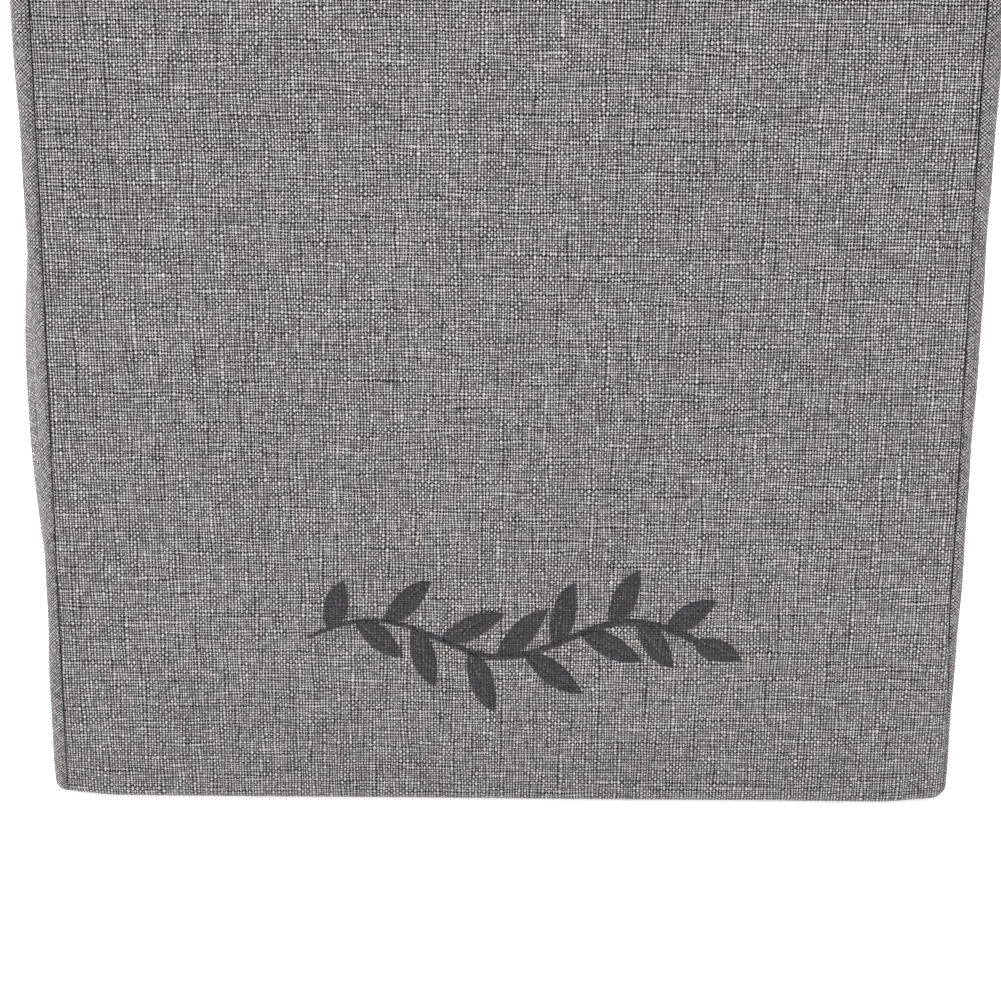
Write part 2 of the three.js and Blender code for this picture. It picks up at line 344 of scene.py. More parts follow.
def knot_line(side, share):
    """An overhand knot drawn tight: a three-lobed loop that crosses over itself."""
    t = np.linspace(0, 2 * math.pi, 73)
    across = KNOT_LOBE * (np.sin(t) + 2 * np.sin(2 * t))
    along = KNOT_LOBE * (np.cos(t) - 2 * np.cos(2 * t))
    deep = KNOT_DEPTH * -np.sin(3 * t)
    x = side * (HALF_WIDTH - KNOT_INSET) + deep
    return np.stack([x, share * HANDLE_SPREAD + across, HANDLE_HEIGHT + along], axis=1)


handles, knots = {}, {}
for side, word in ((-1, "left"), (1, "right")):
    rope_line = smooth_route(handle_route(side))
    handles[word] = laid_rope(f"{word}_handle_laid_rope", rope_line)
    for share, end in ((1, "rear"), (-1, "fore")):
        knots[word, end] = laid_rope(f"{word}_{end}_rope_knot", knot_line(side, share),
                                     gap=0.0016)
        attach(knots[word, end], f"{word}_{end}")
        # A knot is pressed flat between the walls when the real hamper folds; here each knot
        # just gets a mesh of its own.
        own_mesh(knots[word, end])
    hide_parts(f"{word}_handle_rope")
    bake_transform(handles[word])
    path = evenly(rope_line, 0.004)[0]
    print(handles[word].name, len(handles[word].data.polygons), "faces")

# %% [markdown]
# ## The linen-look cloth
# The walls are covered in a plain weave of uneven, slubby yarns. Each yarn goes over
# one and under the next, so the face is a net of short pale floats with dark holes
# between them. An image of a weave would be the quick way. Here the pattern is worked
# out from the cloth map, which is in metres along the real cloth, so it bends and
# travels with the cloth and is sharp at any distance. Sine waves give the floats, their
# sign says which yarn is on top, and noise that is stretched along one yarn at a time
# gives the slubs. The floats' height also sets their colour, so the dark holes and the
# darker edges of each float are painted shade.

# %% Slubs along a yarn
def yarn_tone(tree, index, along, seed, stretch):
    """A tone that changes slowly along a yarn and at once from yarn to yarn."""
    row = node(tree, "Math", index, 7.31, seed, operation="MULTIPLY_ADD")
    slow = node(tree, "Math", along, stretch, operation="MULTIPLY")
    noise = node(tree, "TexNoise", node(tree, "CombineXYZ", row, slow),
                 named={"Scale": 1.0, "Detail": 1.5}, noise_dimensions="2D")
    return node(tree, "MapRange", noise, 0.3, 0.7)


def slub_tone(tree, index, along, slow_seed, quick_seed):
    """Long slubs and short ones together, from 0 to 1."""
    long_slubs = node(tree, "Math", yarn_tone(tree, index, along, slow_seed, 0.04), 0.45,
                      operation="MULTIPLY")
    return node(tree, "Math", yarn_tone(tree, index, along, quick_seed, 0.16), 0.55,
                long_slubs, operation="MULTIPLY_ADD")


# %% The floats and the holes of a plain weave
HOLE_SPREAD = 3.4         # a larger number makes wider holes


def float_height(tree, across, along):
    """A float is round across its yarn and nearly flat along it."""
    round_side = node(tree, "Math", across, 0.62, operation="POWER")
    return node(tree, "Math", round_side, node(tree, "Math", along, 0.06, operation="POWER"),
                operation="MULTIPLY")


def plain_weave(tree, x, y):
    """Which yarn is on top (1 for the warp) and how high its face stands, from 0 to 1."""
    wave_x, wave_y = (node(tree, "Math", node(tree, "Math", q, math.pi, operation="MULTIPLY"),
                           operation="SINE") for q in (x, y))
    crossing = node(tree, "Math", wave_x, wave_y, operation="MULTIPLY")
    warp_up = node(tree, "Math", crossing, 0.0, operation="GREATER_THAN")
    wide_x, wide_y = (node(tree, "Math", q, operation="ABSOLUTE") for q in (wave_x, wave_y))
    face = node(tree, "Mix", warp_up, None, float_height(tree, wide_y, wide_x),
                float_height(tree, wide_x, wide_y))
    # A hole stays open where four floats meet, and its dark is painted shade.
    beside, above = (node(tree, "Math", 1.0, q, operation="SUBTRACT") for q in (wide_x, wide_y))
    hole = node(tree, "Math", beside, above, operation="MULTIPLY")
    hole = node(tree, "Math", hole, HOLE_SPREAD, operation="MULTIPLY", use_clamp=True)
    left_open = node(tree, "Math", hole, -0.95, 1.0, operation="MULTIPLY_ADD")
    return warp_up, node(tree, "Math", face, left_open, operation="MULTIPLY")


# %% Count the yarns from the cloth map
def counted_yarns(tree, cloth, yarn, turn, waver):
    """The cloth map as laid, in metres, and the same map counted in yarns."""
    turned = node(tree, "Mapping", cloth, named={"Rotation": (0, 0, turn)})
    # Yarns differ in thickness, so their pitch drifts from yarn to yarn, and each wanders.
    drifts = []
    for stretch in ((1, 0.14, 1), (0.14, 1, 1)):
        long_way = node(tree, "VectorMath", turned, stretch, operation="MULTIPLY")
        drift = node(tree, "TexNoise", long_way, named={"Scale": 210.0, "Detail": 2.0},
                     noise_dimensions="2D")
        drifts.append(node(tree, "Math", drift, waver, -waver / 2, operation="MULTIPLY_ADD"))
    laid = node(tree, "VectorMath", turned, node(tree, "CombineXYZ", *drifts), operation="ADD")
    return laid, node(tree, "VectorMath", laid, named={"Scale": 1 / yarn}, operation="SCALE")


# %% How the tone differs from place to place
def uneven_tones(tree, cloth, counted, column, row, fleck, hairs):
    """Three tones to multiply by: from float to float, inside a float, and in clouds."""
    speck = node(tree, "TexWhiteNoise", node(tree, "CombineXYZ", column, row),
                 noise_dimensions="2D")
    speck = node(tree, "Math", speck.outputs["Value"], fleck, 1 - fleck / 2,
                 operation="MULTIPLY_ADD")
    hairy = node(tree, "TexNoise", counted, named={"Scale": 2.4, "Detail": 2.0},
                 noise_dimensions="2D")
    hairy = node(tree, "MapRange", hairy, 0.3, 0.7, 1 - hairs, 1 + hairs)
    cloudy = node(tree, "TexNoise", cloth, named={"Scale": 14.0, "Detail": 3.0},
                  noise_dimensions="2D")
    cloudy = node(tree, "Math", cloudy, 0.08, 0.96, operation="MULTIPLY_ADD")
    return speck, hairy, cloudy


def warp_and_weft_share(tree, cloth, warp_up, weft, lead):
    """In places the warp stands out and draws upright lines, in others the weft does."""
    takes_over = node(tree, "TexNoise", cloth, named={"Scale": 110.0, "Detail": 2.0},
                      noise_dimensions="2D")
    takes_over = node(tree, "MapRange", takes_over, 0.35, 0.65, -lead, lead)
    return node(tree, "Mix", warp_up, None,
                node(tree, "Math", weft, takes_over, operation="SUBTRACT"),
                node(tree, "Math", 1.0, takes_over, operation="ADD"))


# %% Dye the yarns and paint their shade
def dyed_and_shaded(tree, lit, shades, laid, yarn):
    """The colour for each tone, from the painted shade of the holes up to the pale floats, in
    two dye lots: one a little warm, one a little cool.
    """
    shade = node(tree, "ValToRGB", lit)
    ramp = shade.color_ramp
    while len(ramp.elements) < len(shades):
        ramp.elements.new(0.5)
    for element, (stop, colour) in zip(ramp.elements, shades):
        element.position = stop
        element.color = linear(colour)
    lot = node(tree, "TexNoise", laid, named={"Scale": 1 / (9 * yarn), "Detail": 1.0},
               noise_dimensions="2D")
    lot = node(tree, "MapRange", lot, 0.38, 0.62)
    tint = node(tree, "Mix", lot, data_type="RGBA",
                named={6: (1.02, 0.994, 0.990, 1), 7: (0.987, 1.0, 1.010, 1)})
    return node(tree, "Mix", 1.0, data_type="RGBA", blend_type="MULTIPLY",
                named={6: shade, 7: tint})


# %% A woven cloth
def woven_cloth(name, yarn, shades, turn=0.0, slub=0.38, fleck=0.46, bump=0.5, waver=0.0024,
                weft=0.74, lead=0.10, hairs=0.26):
    """A plain weave. yarn is its pitch in metres, shades its colours from hole to float, which
    paint shade into the holes and onto the edges of the floats.
    slub, fleck and hairs are how much the tone differs along a yarn, from float to float
    and inside a float. weft is the weft's tone beside the warp's, and lead how much one
    of the two takes over in places. waver is how far, in metres, a yarn can wander."""
    made, tree, out = finish_named(name)
    cloth = node(tree, "UVMap", uv_map="cloth")
    laid, counted = counted_yarns(tree, cloth, yarn, turn, waver)
    split = node(tree, "SeparateXYZ", counted)
    x, y = split.outputs["X"], split.outputs["Y"]
    column, row = (node(tree, "Math", q, operation="FLOOR") for q in (x, y))
    warp_up, raised = plain_weave(tree, x, y)

    tone = node(tree, "Mix", warp_up, None, slub_tone(tree, row, x, 47.0, 17.0),
                slub_tone(tree, column, y, 3.0, 91.0))
    tone = node(tree, "Math", tone, slub, 1 - slub / 2, operation="MULTIPLY_ADD")
    # The floats' height becomes their brightness: painted shade in the holes and at the edges
    # of each float.
    lit = raised
    for factor in (tone, *uneven_tones(tree, cloth, counted, column, row, fleck, hairs),
                   warp_and_weft_share(tree, cloth, warp_up, weft, lead)):
        lit = node(tree, "Math", lit, factor, operation="MULTIPLY")

    height = node(tree, "Math", raised, lit, operation="MULTIPLY")
    relief = node(tree, "Bump",
                  named={"Strength": bump, "Distance": 0.25 * yarn, "Height": height})
    fibre = node(tree, "BsdfPrincipled",
                 named={"Base Color": dyed_and_shaded(tree, lit, shades, laid, yarn), "Normal": relief,
                        "Roughness": 0.88, "Specular IOR Level": 0.3, "Sheen Weight": 0.12,
                        "Sheen Roughness": 0.5})
    tree.links.new(fibre.outputs["BSDF"], out.inputs["Surface"])
    return made


# %% The three cloths
# Polyester yarns spun to look like linen, 1.3 mm apart: dark holes of painted shade, pale
# slubs.
LINEN_YARN = 0.0013
LINEN_SHADES = ((0.0, "#050404"), (0.24, "#1f1e1f"), (0.5, "#6e6b6c"), (0.78, "#9a9797"),
                (1.0, "#bebbba"))
linen = woven_cloth("slub_woven_linen_look", LINEN_YARN, LINEN_SHADES)
# The welts are the same yarns cut on the bias, pulled tight and finer, 1.05 mm apart.
welt_cloth = woven_cloth("bias_cut_linen_look", 0.00105,
                         ((0.0, "#060505"), (0.24, "#242323"), (0.5, "#706d6e"),
                          (0.78, "#999696"), (1.0, "#b3b0b0")),
                         turn=math.radians(45), fleck=0.6, waver=0.0016)
# The lining is a thin taffeta. Its 0.25 mm yarns are drawn at 0.6 mm so that they show.
lining_cloth = woven_cloth("pale_taffeta_lining", 0.0006,
                           ((0.0, "#b2afaa"), (0.4, "#cfccc7"), (0.7, "#dad7d2"),
                            (1.0, "#e6e3df")),
                           slub=0.25, fleck=0.15, bump=0.25, waver=0.0002, weft=0.9, lead=0.02,
                           hairs=0.05)
print("cloths:", [m.name for m in (linen, welt_cloth, lining_cloth)])

# %% [markdown]
# ## Tape, thread, rope and board
# The other finishes all end in the same way: a colour that changes with a pattern, and a
# bump from the same pattern. They could each be written out in full. One function gives
# that ending instead, so that each finish below is only its own pattern.

# %% One ending for every pattern
def dressed_surface(tree, out, colours, pattern, strength, depth, **settings):
    """Mixes two hex colours by a pattern, and raises the surface by that pattern."""
    # For ribs, yarns and loops the pattern is their relief, so the darker colour in its low
    # parts is painted shade; for board pulp and metal scuffs it is their own colour.
    colour = node(tree, "Mix", pattern, data_type="RGBA",
                  named={6: linear(colours[0]), 7: linear(colours[1])})
    relief = node(tree, "Bump", named={"Strength": strength, "Distance": depth,
                                       "Height": pattern})
    surface = node(tree, "BsdfPrincipled",
                   named={"Base Color": colour, "Normal": relief, **settings})
    tree.links.new(surface.outputs["BSDF"], out.inputs["Surface"])
    return surface


# %% [markdown]
# ### Grosgrain
# The binding tape is dark grey polyester grosgrain: a narrow tape with fine cross ribs. A
# sine wave along the cloth map draws the ribs, and a finer one draws the yarns. Both also
# set the colour, so the troughs between them are painted shade.

# %% Grosgrain tape
RIB, CROSS_YARN = 0.0009, 0.0006
grosgrain, tree, out = finish_named("grosgrain_binding_tape")
cloth = node(tree, "UVMap", uv_map="cloth")
split = node(tree, "SeparateXYZ", cloth)
rib = node(tree, "Math", split.outputs["X"], 2 * math.pi / RIB, operation="MULTIPLY")
rib = node(tree, "Math", node(tree, "Math", rib, operation="SINE"), 0.5, 0.5,
           operation="MULTIPLY_ADD")
yarns = node(tree, "Math", split.outputs["Y"], 2 * math.pi / CROSS_YARN, operation="MULTIPLY")
yarns = node(tree, "Math", node(tree, "Math", yarns, operation="SINE"), 0.12, 0.7,
             operation="MULTIPLY_ADD")
fine = node(tree, "TexNoise", cloth, named={"Scale": 1500.0, "Detail": 2.0},
            noise_dimensions="2D")
mixed = node(tree, "Math", rib, yarns, operation="MULTIPLY")
mixed = node(tree, "Math", fine, 0.3, mixed, operation="MULTIPLY_ADD")
# Painted shade: the troughs of the ribs and yarns take the darker grey.
dressed_surface(tree, out, ("#3c3a3a", "#8b8786"), mixed, 0.6, 0.0003, Roughness=0.7)
print(grosgrain.name, "has", len(tree.nodes), "nodes")

# %% [markdown]
# ### Hook-and-loop
# The fastening is a mat of fine nylon loops. They lie in no order, so a cell pattern
# spaced 0.7 mm apart stands for the curls and a finer noise for the fuzz between them.
# The pile's height also sets its colour, so its low parts are painted shade.

# %% Hook-and-loop tape
loop_tape, tree, out = finish_named("nylon_loop_tape")
where = node(tree, "TexCoord").outputs["Object"]
curls = node(tree, "TexVoronoi", where, named={"Scale": 1400.0})
fuzz = node(tree, "TexNoise", where, named={"Scale": 2600.0, "Detail": 3.0})
pile = node(tree, "Math", fuzz, 0.5, operation="MULTIPLY")
pile = node(tree, "Math", curls.outputs["Distance"], 0.6, pile, operation="MULTIPLY_ADD")
# Painted shade: the low parts of the pile take the darker grey.
dressed_surface(tree, out, ("#4b494d", "#9b989c"), pile, 0.8, 0.0005, Roughness=0.85)
print(loop_tape.name, "has", len(tree.nodes), "nodes")

# %% [markdown]
# ### Cotton rope
# The rope is unbleached cotton, matt. In each strand the yarns wind the other way from
# the strands, so a slanting sine wave, 2.4 mm from crest to crest, runs round each tube.
# The wave also sets the colour, so the grooves between yarns are painted shade.

# %% Cotton rope
YARNS_ROUND, YARN_STEP = 7, 0.0024
cotton, tree, out = finish_named("laid_cotton_rope")
split = node(tree, "SeparateXYZ", node(tree, "UVMap", uv_map="cloth"))
# A whole number of yarns round a strand closes on itself where the tube's map does.
round_strand = node(tree, "Math", split.outputs["Y"], YARNS_ROUND / STRAND_RADIUS,
                    operation="MULTIPLY")
slant = node(tree, "Math", split.outputs["X"], 2 * math.pi / YARN_STEP, round_strand,
             operation="MULTIPLY_ADD")
yarns = node(tree, "Math", node(tree, "Math", slant, operation="SINE"), 0.5, 0.5,
             operation="MULTIPLY_ADD")
where = node(tree, "TexCoord").outputs["Object"]
fuzz = node(tree, "TexNoise", where, named={"Scale": 1800.0, "Detail": 4.0})
soil = node(tree, "TexNoise", where, named={"Scale": 90.0, "Detail": 2.0})
lit = node(tree, "Math", fuzz, 0.35, operation="MULTIPLY")
lit = node(tree, "Math", yarns, 0.55, lit, operation="MULTIPLY_ADD")
lit = node(tree, "Math", soil, 0.2, lit, operation="MULTIPLY_ADD")
# Painted shade: the grooves between the yarns take the darker buff.
dressed_surface(tree, out, ("#a79c85", "#f1ead9"), lit, 0.7, 0.0004,
                **{"Roughness": 0.9, "Sheen Weight": 0.1})
print(cotton.name, "has", len(tree.nodes), "nodes")

# %% [markdown]
# ### Sewing thread
# Spun polyester thread is a shade lighter than the cloth. A stitch is too small to show
# more than its two-ply twist, so one slanting wave is enough. The wave also sets the
# colour, so the grooves of the twist are painted shade.

# %% Sewing thread
thread, tree, out = finish_named("spun_sewing_thread")
where = node(tree, "TexCoord").outputs["Object"]
twist = node(tree, "TexWave", where, named={"Scale": 900.0, "Distortion": 1.0},
             bands_direction="DIAGONAL")
# Painted shade: the grooves of the twist take the darker grey.
dressed_surface(tree, out, ("#6f6b6b", "#a8a4a3"), twist.outputs["Fac"], 0.4, 0.0001,
                Roughness=0.6)
print(thread.name, "has", len(tree.nodes), "nodes")

# %% [markdown]
# ### Grey chipboard
# The boards are pressed waste paper, buff grey with fibres and small dark flecks. Noise
# gives the pulp, and the middles of a cell pattern, cut off small, give the flecks.

# %% Grey chipboard
chipboard, tree, out = finish_named("pressed_grey_chipboard")
where = node(tree, "TexCoord").outputs["Object"]
pulp = node(tree, "TexNoise", where, named={"Scale": 420.0, "Detail": 5.0})
board_face = dressed_surface(tree, out, ("#9c8d74", "#c9bb9f"), pulp, 0.3, 0.0003,
                             Roughness=0.95)
flecks = node(tree, "TexVoronoi", where, named={"Scale": 260.0})
flecks = node(tree, "Math", flecks.outputs["Distance"], 0.16, operation="LESS_THAN")
flecks = node(tree, "Math", flecks, 0.5, operation="MULTIPLY")
body_colour = board_face.inputs["Base Color"].links[0].from_socket
spotted = node(tree, "Mix", flecks, data_type="RGBA",
               named={6: body_colour, 7: linear("#6f6452")})
tree.links.new(spotted.outputs[2], board_face.inputs["Base Color"])
print(chipboard.name, "has", len(tree.nodes), "nodes")

# %% [markdown]
# ### Nickel-plated steel
# The eyelets are pressed, plated and polished in a barrel: bright, with a faint haze of
# scuffs. So the same noise changes the colour a little and the gloss more.

# %% Nickel-plated steel
steel, tree, out = finish_named("nickel_plated_steel")
where = node(tree, "TexCoord").outputs["Object"]
scuff = node(tree, "TexNoise", where, named={"Scale": 900.0, "Detail": 4.0})
gloss = node(tree, "MapRange", scuff, named={"To Min": 0.16, "To Max": 0.38})
dressed_surface(tree, out, ("#aeb0b5", "#d3d4d7"), scuff, 0.12, 0.0001, Metallic=1.0,
                Roughness=gloss)
print(steel.name, "has", len(tree.nodes), "nodes")

# %% [markdown]
# ### Heat-transfer film
# The print is a thin charcoal film that is pressed hot into the cloth. It takes on the
# weave under it, so it is the same weave again, matt and dark and with less relief.

# %% Heat-transfer film
film = woven_cloth("heat_transfer_film", LINEN_YARN,
                   ((0.0, "#1a191b"), (0.4, "#2c2a2c"), (0.75, "#3c3a3d"), (1.0, "#534f53")),
                   slub=0.3, fleck=0.5, bump=0.35, lead=0.05, hairs=0.1)
print(film.name, "has", len(film.node_tree.nodes), "nodes")


# %% Dress the handles and the boards
def dress(piece, finish):
    """Gives a piece its finish."""
    piece.data.materials.clear()
    piece.data.materials.append(finish)
    return piece


for word in ("left", "right"):
    dress(handles[word], cotton)
    for end in ("rear", "fore"):
        dress(knots[word, end], cotton)
for name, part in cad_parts.items():
    if name.endswith("_board"):
        part.data.materials.clear()
        part.data.materials.append(chipboard)
print("finishes:", len(bpy.data.materials))

# %% [markdown]
# ## How a wall's cloth lies
# A wall's cover is a rectangle of cloth that is flat in the middle, rounds the corners
# with the board under it and turns under at the bottom. So its shape is written as a
# rule: how far along the cloth and how far up it, to a point in space. The grid's own
# distances become the cloth map, which is why the weave is never stretched. A Solidify
# modifier then gives the sheet its real thickness.

# %% Rules for the outline and the turned-under edge
HALF_DEPTH = 0.150
CORNER = 0.007
TURN_UNDER = 0.005
FLOOR_GAP = 0.0006


def outline(s, half_width=HALF_WIDTH, half_depth=HALF_DEPTH, corner=CORNER, end=-1):
    """Where s metres from the wall's middle lies in plan, and which way is out.
    end is -1 for the front and 1 for the back."""
    side, away = np.sign(s), np.abs(s)
    flat = half_width - corner
    bend = np.clip((away - flat) / corner, 0, math.pi / 2)
    past = np.maximum(away - flat - corner * math.pi / 2, 0)
    x = side * (np.minimum(away, flat) + corner * np.sin(bend))
    y = end * (half_depth - corner * (1 - np.cos(bend)) - past)
    return x, y, side * np.sin(bend), end * np.cos(bend)


def turned_under(v, lift=FLOOR_GAP):
    """Height, and how far in, of a point v metres up the cloth."""
    start = lift + TURN_UNDER
    down = np.maximum(start - v, 0)
    bend = np.minimum(down / TURN_UNDER, math.pi / 2)
    rest = np.maximum(down - TURN_UNDER * math.pi / 2, 0)
    z = np.where(v >= start, v, start - TURN_UNDER * np.sin(bend))
    return z, TURN_UNDER * (1 - np.cos(bend)) + rest


def smooth(x, low, high):
    """0 below low, 1 above high, and a soft step between."""
    t = np.clip((x - low) / (high - low), 0, 1)
    return t * t * (3 - 2 * t)


# %% A sheet of cloth laid by a rule
NEAR_A_SEAM = np.array([0.0004, 0.001, 0.0018, 0.003, 0.005, 0.009])
SEAM_ROLL = 0.014         # a cloth is plain from here on


def steps_along(start, stop, gap):
    """Stops along a cloth, close together at both ends where it rolls into a seam."""
    count = max(2, int((stop - start) / gap))
    middle = np.linspace(start + SEAM_ROLL, stop - SEAM_ROLL, count)
    return np.r_[start, start + NEAR_A_SEAM, middle, stop - NEAR_A_SEAM[::-1], stop]


def finish_with(piece, kind, **settings):
    """Adds one modifier to a piece and applies it."""
    only(piece)
    modifier = piece.modifiers.new(kind.lower(), kind)
    for key, value in settings.items():
        setattr(modifier, key, value)
    bpy.ops.object.modifier_apply(modifier=modifier.name)
    return piece


def cloth_piece(name, across, up, rule, thick, flip=False):
    """A sheet laid by a rule. rule gives x, y, z and the distance along the cloth."""
    u, v = (grid.ravel() for grid in np.meshgrid(across, up))
    x, y, z, along = rule(u, v)
    row = len(across)
    faces = []
    for j in range(len(up) - 1):
        for i in range(row - 1):
            q = j * row + i
            face = (q, q + 1, q + row + 1, q + row)
            faces.append(face[::-1] if flip else face)
    piece = mesh_piece(name, np.stack([x, y, z], 1), faces, np.stack([along, v], 1))
    return finish_with(piece, "SOLIDIFY", thickness=thick, offset=-1.0, use_even_offset=False)


# %% The rows of a wall's cloth
COVER = 0.0012
WALL_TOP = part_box("front_cover")[1][2]
below_the_bend = np.array([0.0088, 0.00785, 0.0067, 0.0055, 0.0043, 0.0031, 0.0019, 0.0009, 0])
bottom_stops = FLOOR_GAP + TURN_UNDER - below_the_bend
height_stops = np.r_[bottom_stops, np.linspace(0.010, WALL_TOP - 0.004, 84), WALL_TOP]
print("wall rows:", len(height_stops))

# %% [markdown]
# ## Front and back covers
# The front cover meets a welt at each corner. The left seam stays on the front all the
# way down. The right seam wanders off round the corner near the bottom, as it does when
# cloth is pulled a little askew over the board. The cloth dips into each seam, and a
# low crown keeps the wall from looking like a plate.

# %% The seams, the crown and the bottom edge
def seam_left(v):
    """Distance of the left seam from the front's middle, at height v."""
    return 0.1920 + 0.0025 * smooth(-v, -0.34, -0.01)


def seam_right(v):
    """Distance of the right seam from the front's middle, at height v."""
    return 0.1926 + 0.0034 * smooth(-v, -0.34, -0.09) + 0.0052 * smooth(-v, -0.10, -0.025)


def crown(s, v):
    """How far the cloth stands off its board: a low swell with faint waves."""
    swell = np.clip(1 - (s / 0.19) ** 2, 0, 1) * smooth(v, 0, 0.2) * smooth(-v, -0.57, -0.40)
    waves = np.sin(s * 41 + 2.1 * np.sin(v * 17)) * np.sin(v * 29 + 1.3 + s * 6)
    return 0.0009 * swell + 0.00018 * waves * np.clip(1 - (np.abs(s) / 0.19) ** 6, 0, 1)


def edge_rise(s, v):
    """The bottom edge curls up a little towards the corners."""
    return 0.0018 * smooth(np.abs(s), 0.172, 0.194) * smooth(-v, -0.03, -0.006)


def front_point(s, v, proud, end=-1):
    """A point of the front or back, standing proud of the frame's face."""
    x, y, nx, ny = outline(s, end=end)
    z, inset = turned_under(v)
    return x + nx * (proud - inset), y + ny * (proud - inset), z + edge_rise(s, v)


# %% The front cover
SEAM_DIP = 0.0010


def front_rule(t, v):
    """t goes from seam to seam, and v up the cloth."""
    s = -seam_left(v) + 0.0002 + t * (seam_left(v) + seam_right(v) - 0.0004)
    edge = np.minimum(s + seam_left(v), seam_right(v) - s)
    proud = crown(s, v) - SEAM_DIP * np.exp(-edge / 0.0011)
    return (*front_point(s, v, proud), s)


across_front = steps_along(0, 0.384, 0.0075) / 0.384
front_cover = cloth_piece("front_linen_cover", across_front, height_stops, front_rule, COVER)
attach(front_cover, "front")
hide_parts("front_cover")
dress(front_cover, linen)
print("front cover:", len(front_cover.data.polygons), "faces")


# %% The back cover
BACK_SEAM = 0.1918


def back_rule(t, v):
    """As the front, between two straight seams."""
    s = -BACK_SEAM + t * 2 * BACK_SEAM
    proud = 0.6 * crown(s + 0.07, v) - SEAM_DIP * np.exp(-(BACK_SEAM - np.abs(s)) / 0.0011)
    return (*front_point(s, v, proud, end=1), s)


back_cover = cloth_piece("back_linen_cover", across_front, height_stops, back_rule, COVER,
                         flip=True)
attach(back_cover, "back")
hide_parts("back_cover")
dress(back_cover, linen)
print("back cover:", len(back_cover.data.polygons), "faces")

# %% [markdown]
# ## Corner welts
# A welt is a narrow strip on each corner that joins a wall's cover to the side's. It is
# cut on the bias so that it can bend round the corner, it is padded by its own seam
# allowance, and on the side it laps over the side's cover, where it is stitched down.
# When the hamper folds, that lap has to turn with the side. Here a strip that laps onto a
# side's body stays where it is laid, and the front right one rides on the front.

# %% One welt
LAP = 0.0125              # how far past the rounded corner the strip reaches
FLAT = HALF_WIDTH - CORNER


def welt_piece(name, side, end, seam, body, side_body, node_name):
    """A strip from a seam, round the corner, to its lap on the side wall."""
    last = FLAT + CORNER * math.pi / 2 + LAP
    tight = 0.0013 if side * end > 0 > end else 0

    def rule(t, v):
        """t goes from the seam to the lap. The strip is rolled, with a dip at the seam."""
        near = seam(v)
        s = near + 0.0002 + t * (last - near)
        x, y, nx, ny = outline(side * s, end=end)
        roll = 0.0007 * np.sin(math.pi * np.clip((s - near) / 0.012, 0, 1)) ** 0.8
        dip = 0.0012 * np.exp(-(s - near) / 0.0010)
        lap = 0.0012 * smooth(s, last - 0.0065, last - 0.0030)
        # The left front welt is pulled tight where the side swells out behind it.
        pulled = -tight * smooth(v, 0.03, 0.15) * smooth(-v, -0.36, -0.24)
        pulled = pulled * smooth(s, 0.1935, 0.1975) * smooth(-s, -last + 0.004, -last + 0.010)
        uneven = 0.00022 * np.sin(v * 61 + side) + 0.00014 * np.sin(v * 143 + end)
        proud = 0.0003 + roll - dip + lap + pulled + uneven * np.clip((s - near) / 0.004, 0, 1)
        z, inset = turned_under(v, FLOOR_GAP + 0.0002)
        inset = np.minimum(inset, 0.0064)
        return (x + nx * (proud - inset), y + ny * (proud - inset),
                z + edge_rise(s, v), side * s)

    stops = np.r_[0, 0.012, 0.03, 0.06, 0.1, np.linspace(0.15, 1, 20)]
    piece = cloth_piece(name, stops, height_stops, rule, 0.0011, flip=(side * end > 0))
    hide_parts(node_name)
    dress(piece, welt_cloth)
    if side_body:
        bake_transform(piece)
    else:
        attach(piece, body)
    return piece


# %% Four welts
def seam_back(v):
    """The back seams run straight."""
    return np.full(np.shape(v), 0.1920)


welts = [
    welt_piece("front_left_corner_welt", -1, -1, seam_left, "front", "left_fore",
               "front_left_welt"),
    welt_piece("front_right_corner_welt", 1, -1, seam_right, "front", None,
               "front_right_welt"),
    welt_piece("back_left_corner_welt", -1, 1, seam_back, "back", "left_rear",
               "back_left_welt"),
    welt_piece("back_right_corner_welt", 1, 1, seam_back, "back", "right_rear",
               "back_right_welt"),
]
print("welts:", [len(w.data.polygons) for w in welts])

# %% [markdown]
# ## The side covers
# Each side is one cloth over two half boards, with a pressed crease between them, so it
# is made as one sheet that stays where it is laid. The left one is
# cut a little full, and swells out behind its front corner. The eyelets need holes: a
# Boolean modifier cuts a round peg out of the finished sheet.

# %% Holes for the eyelets
SIDE_HALF = 0.1338
EYELETS = (HANDLE_SPREAD, -HANDLE_SPREAD)


def punch_eyelets(piece, side):
    """Cuts the two rope holes through a side's cloth."""
    for y in EYELETS:
        bpy.ops.object.select_all(action="DESELECT")
        bpy.ops.mesh.primitive_cylinder_add(
            vertices=40, radius=0.0062, depth=0.03,
            location=(side * HALF_WIDTH, y, HANDLE_HEIGHT), rotation=(0, math.pi / 2, 0))
        peg = bpy.context.object
        finish_with(piece, "BOOLEAN", object=peg, operation="DIFFERENCE", solver="EXACT")
        bpy.data.objects.remove(peg)
    return piece


# %% The two side covers
LEFT_BULGE = 0.0082


def side_swell(side, y, v):
    """How far a side's cloth stands off its boards."""
    waves = 0.00025 * np.sin(y * 37 + side) * np.sin(v * 23 + 0.7)
    near_crease = smooth(np.abs(y), 0.003, 0.02) * smooth(-np.abs(y), -0.133, -0.12)
    fold_line = -0.00022 * np.exp(-(y / 0.0012) ** 2)
    flat_cloth = 0.0006 * near_crease + waves * near_crease + fold_line
    if side > 0:
        return flat_cloth
    # The bulge is fullest 0.18 m up, between the front corner and the crease.
    up = smooth(v, 0.035, 0.17) * smooth(-v, -0.30, -0.19)
    behind = smooth(-y, 0.015, 0.085) * smooth(y, -0.1322, -0.1175)
    return flat_cloth + LEFT_BULGE * up * behind


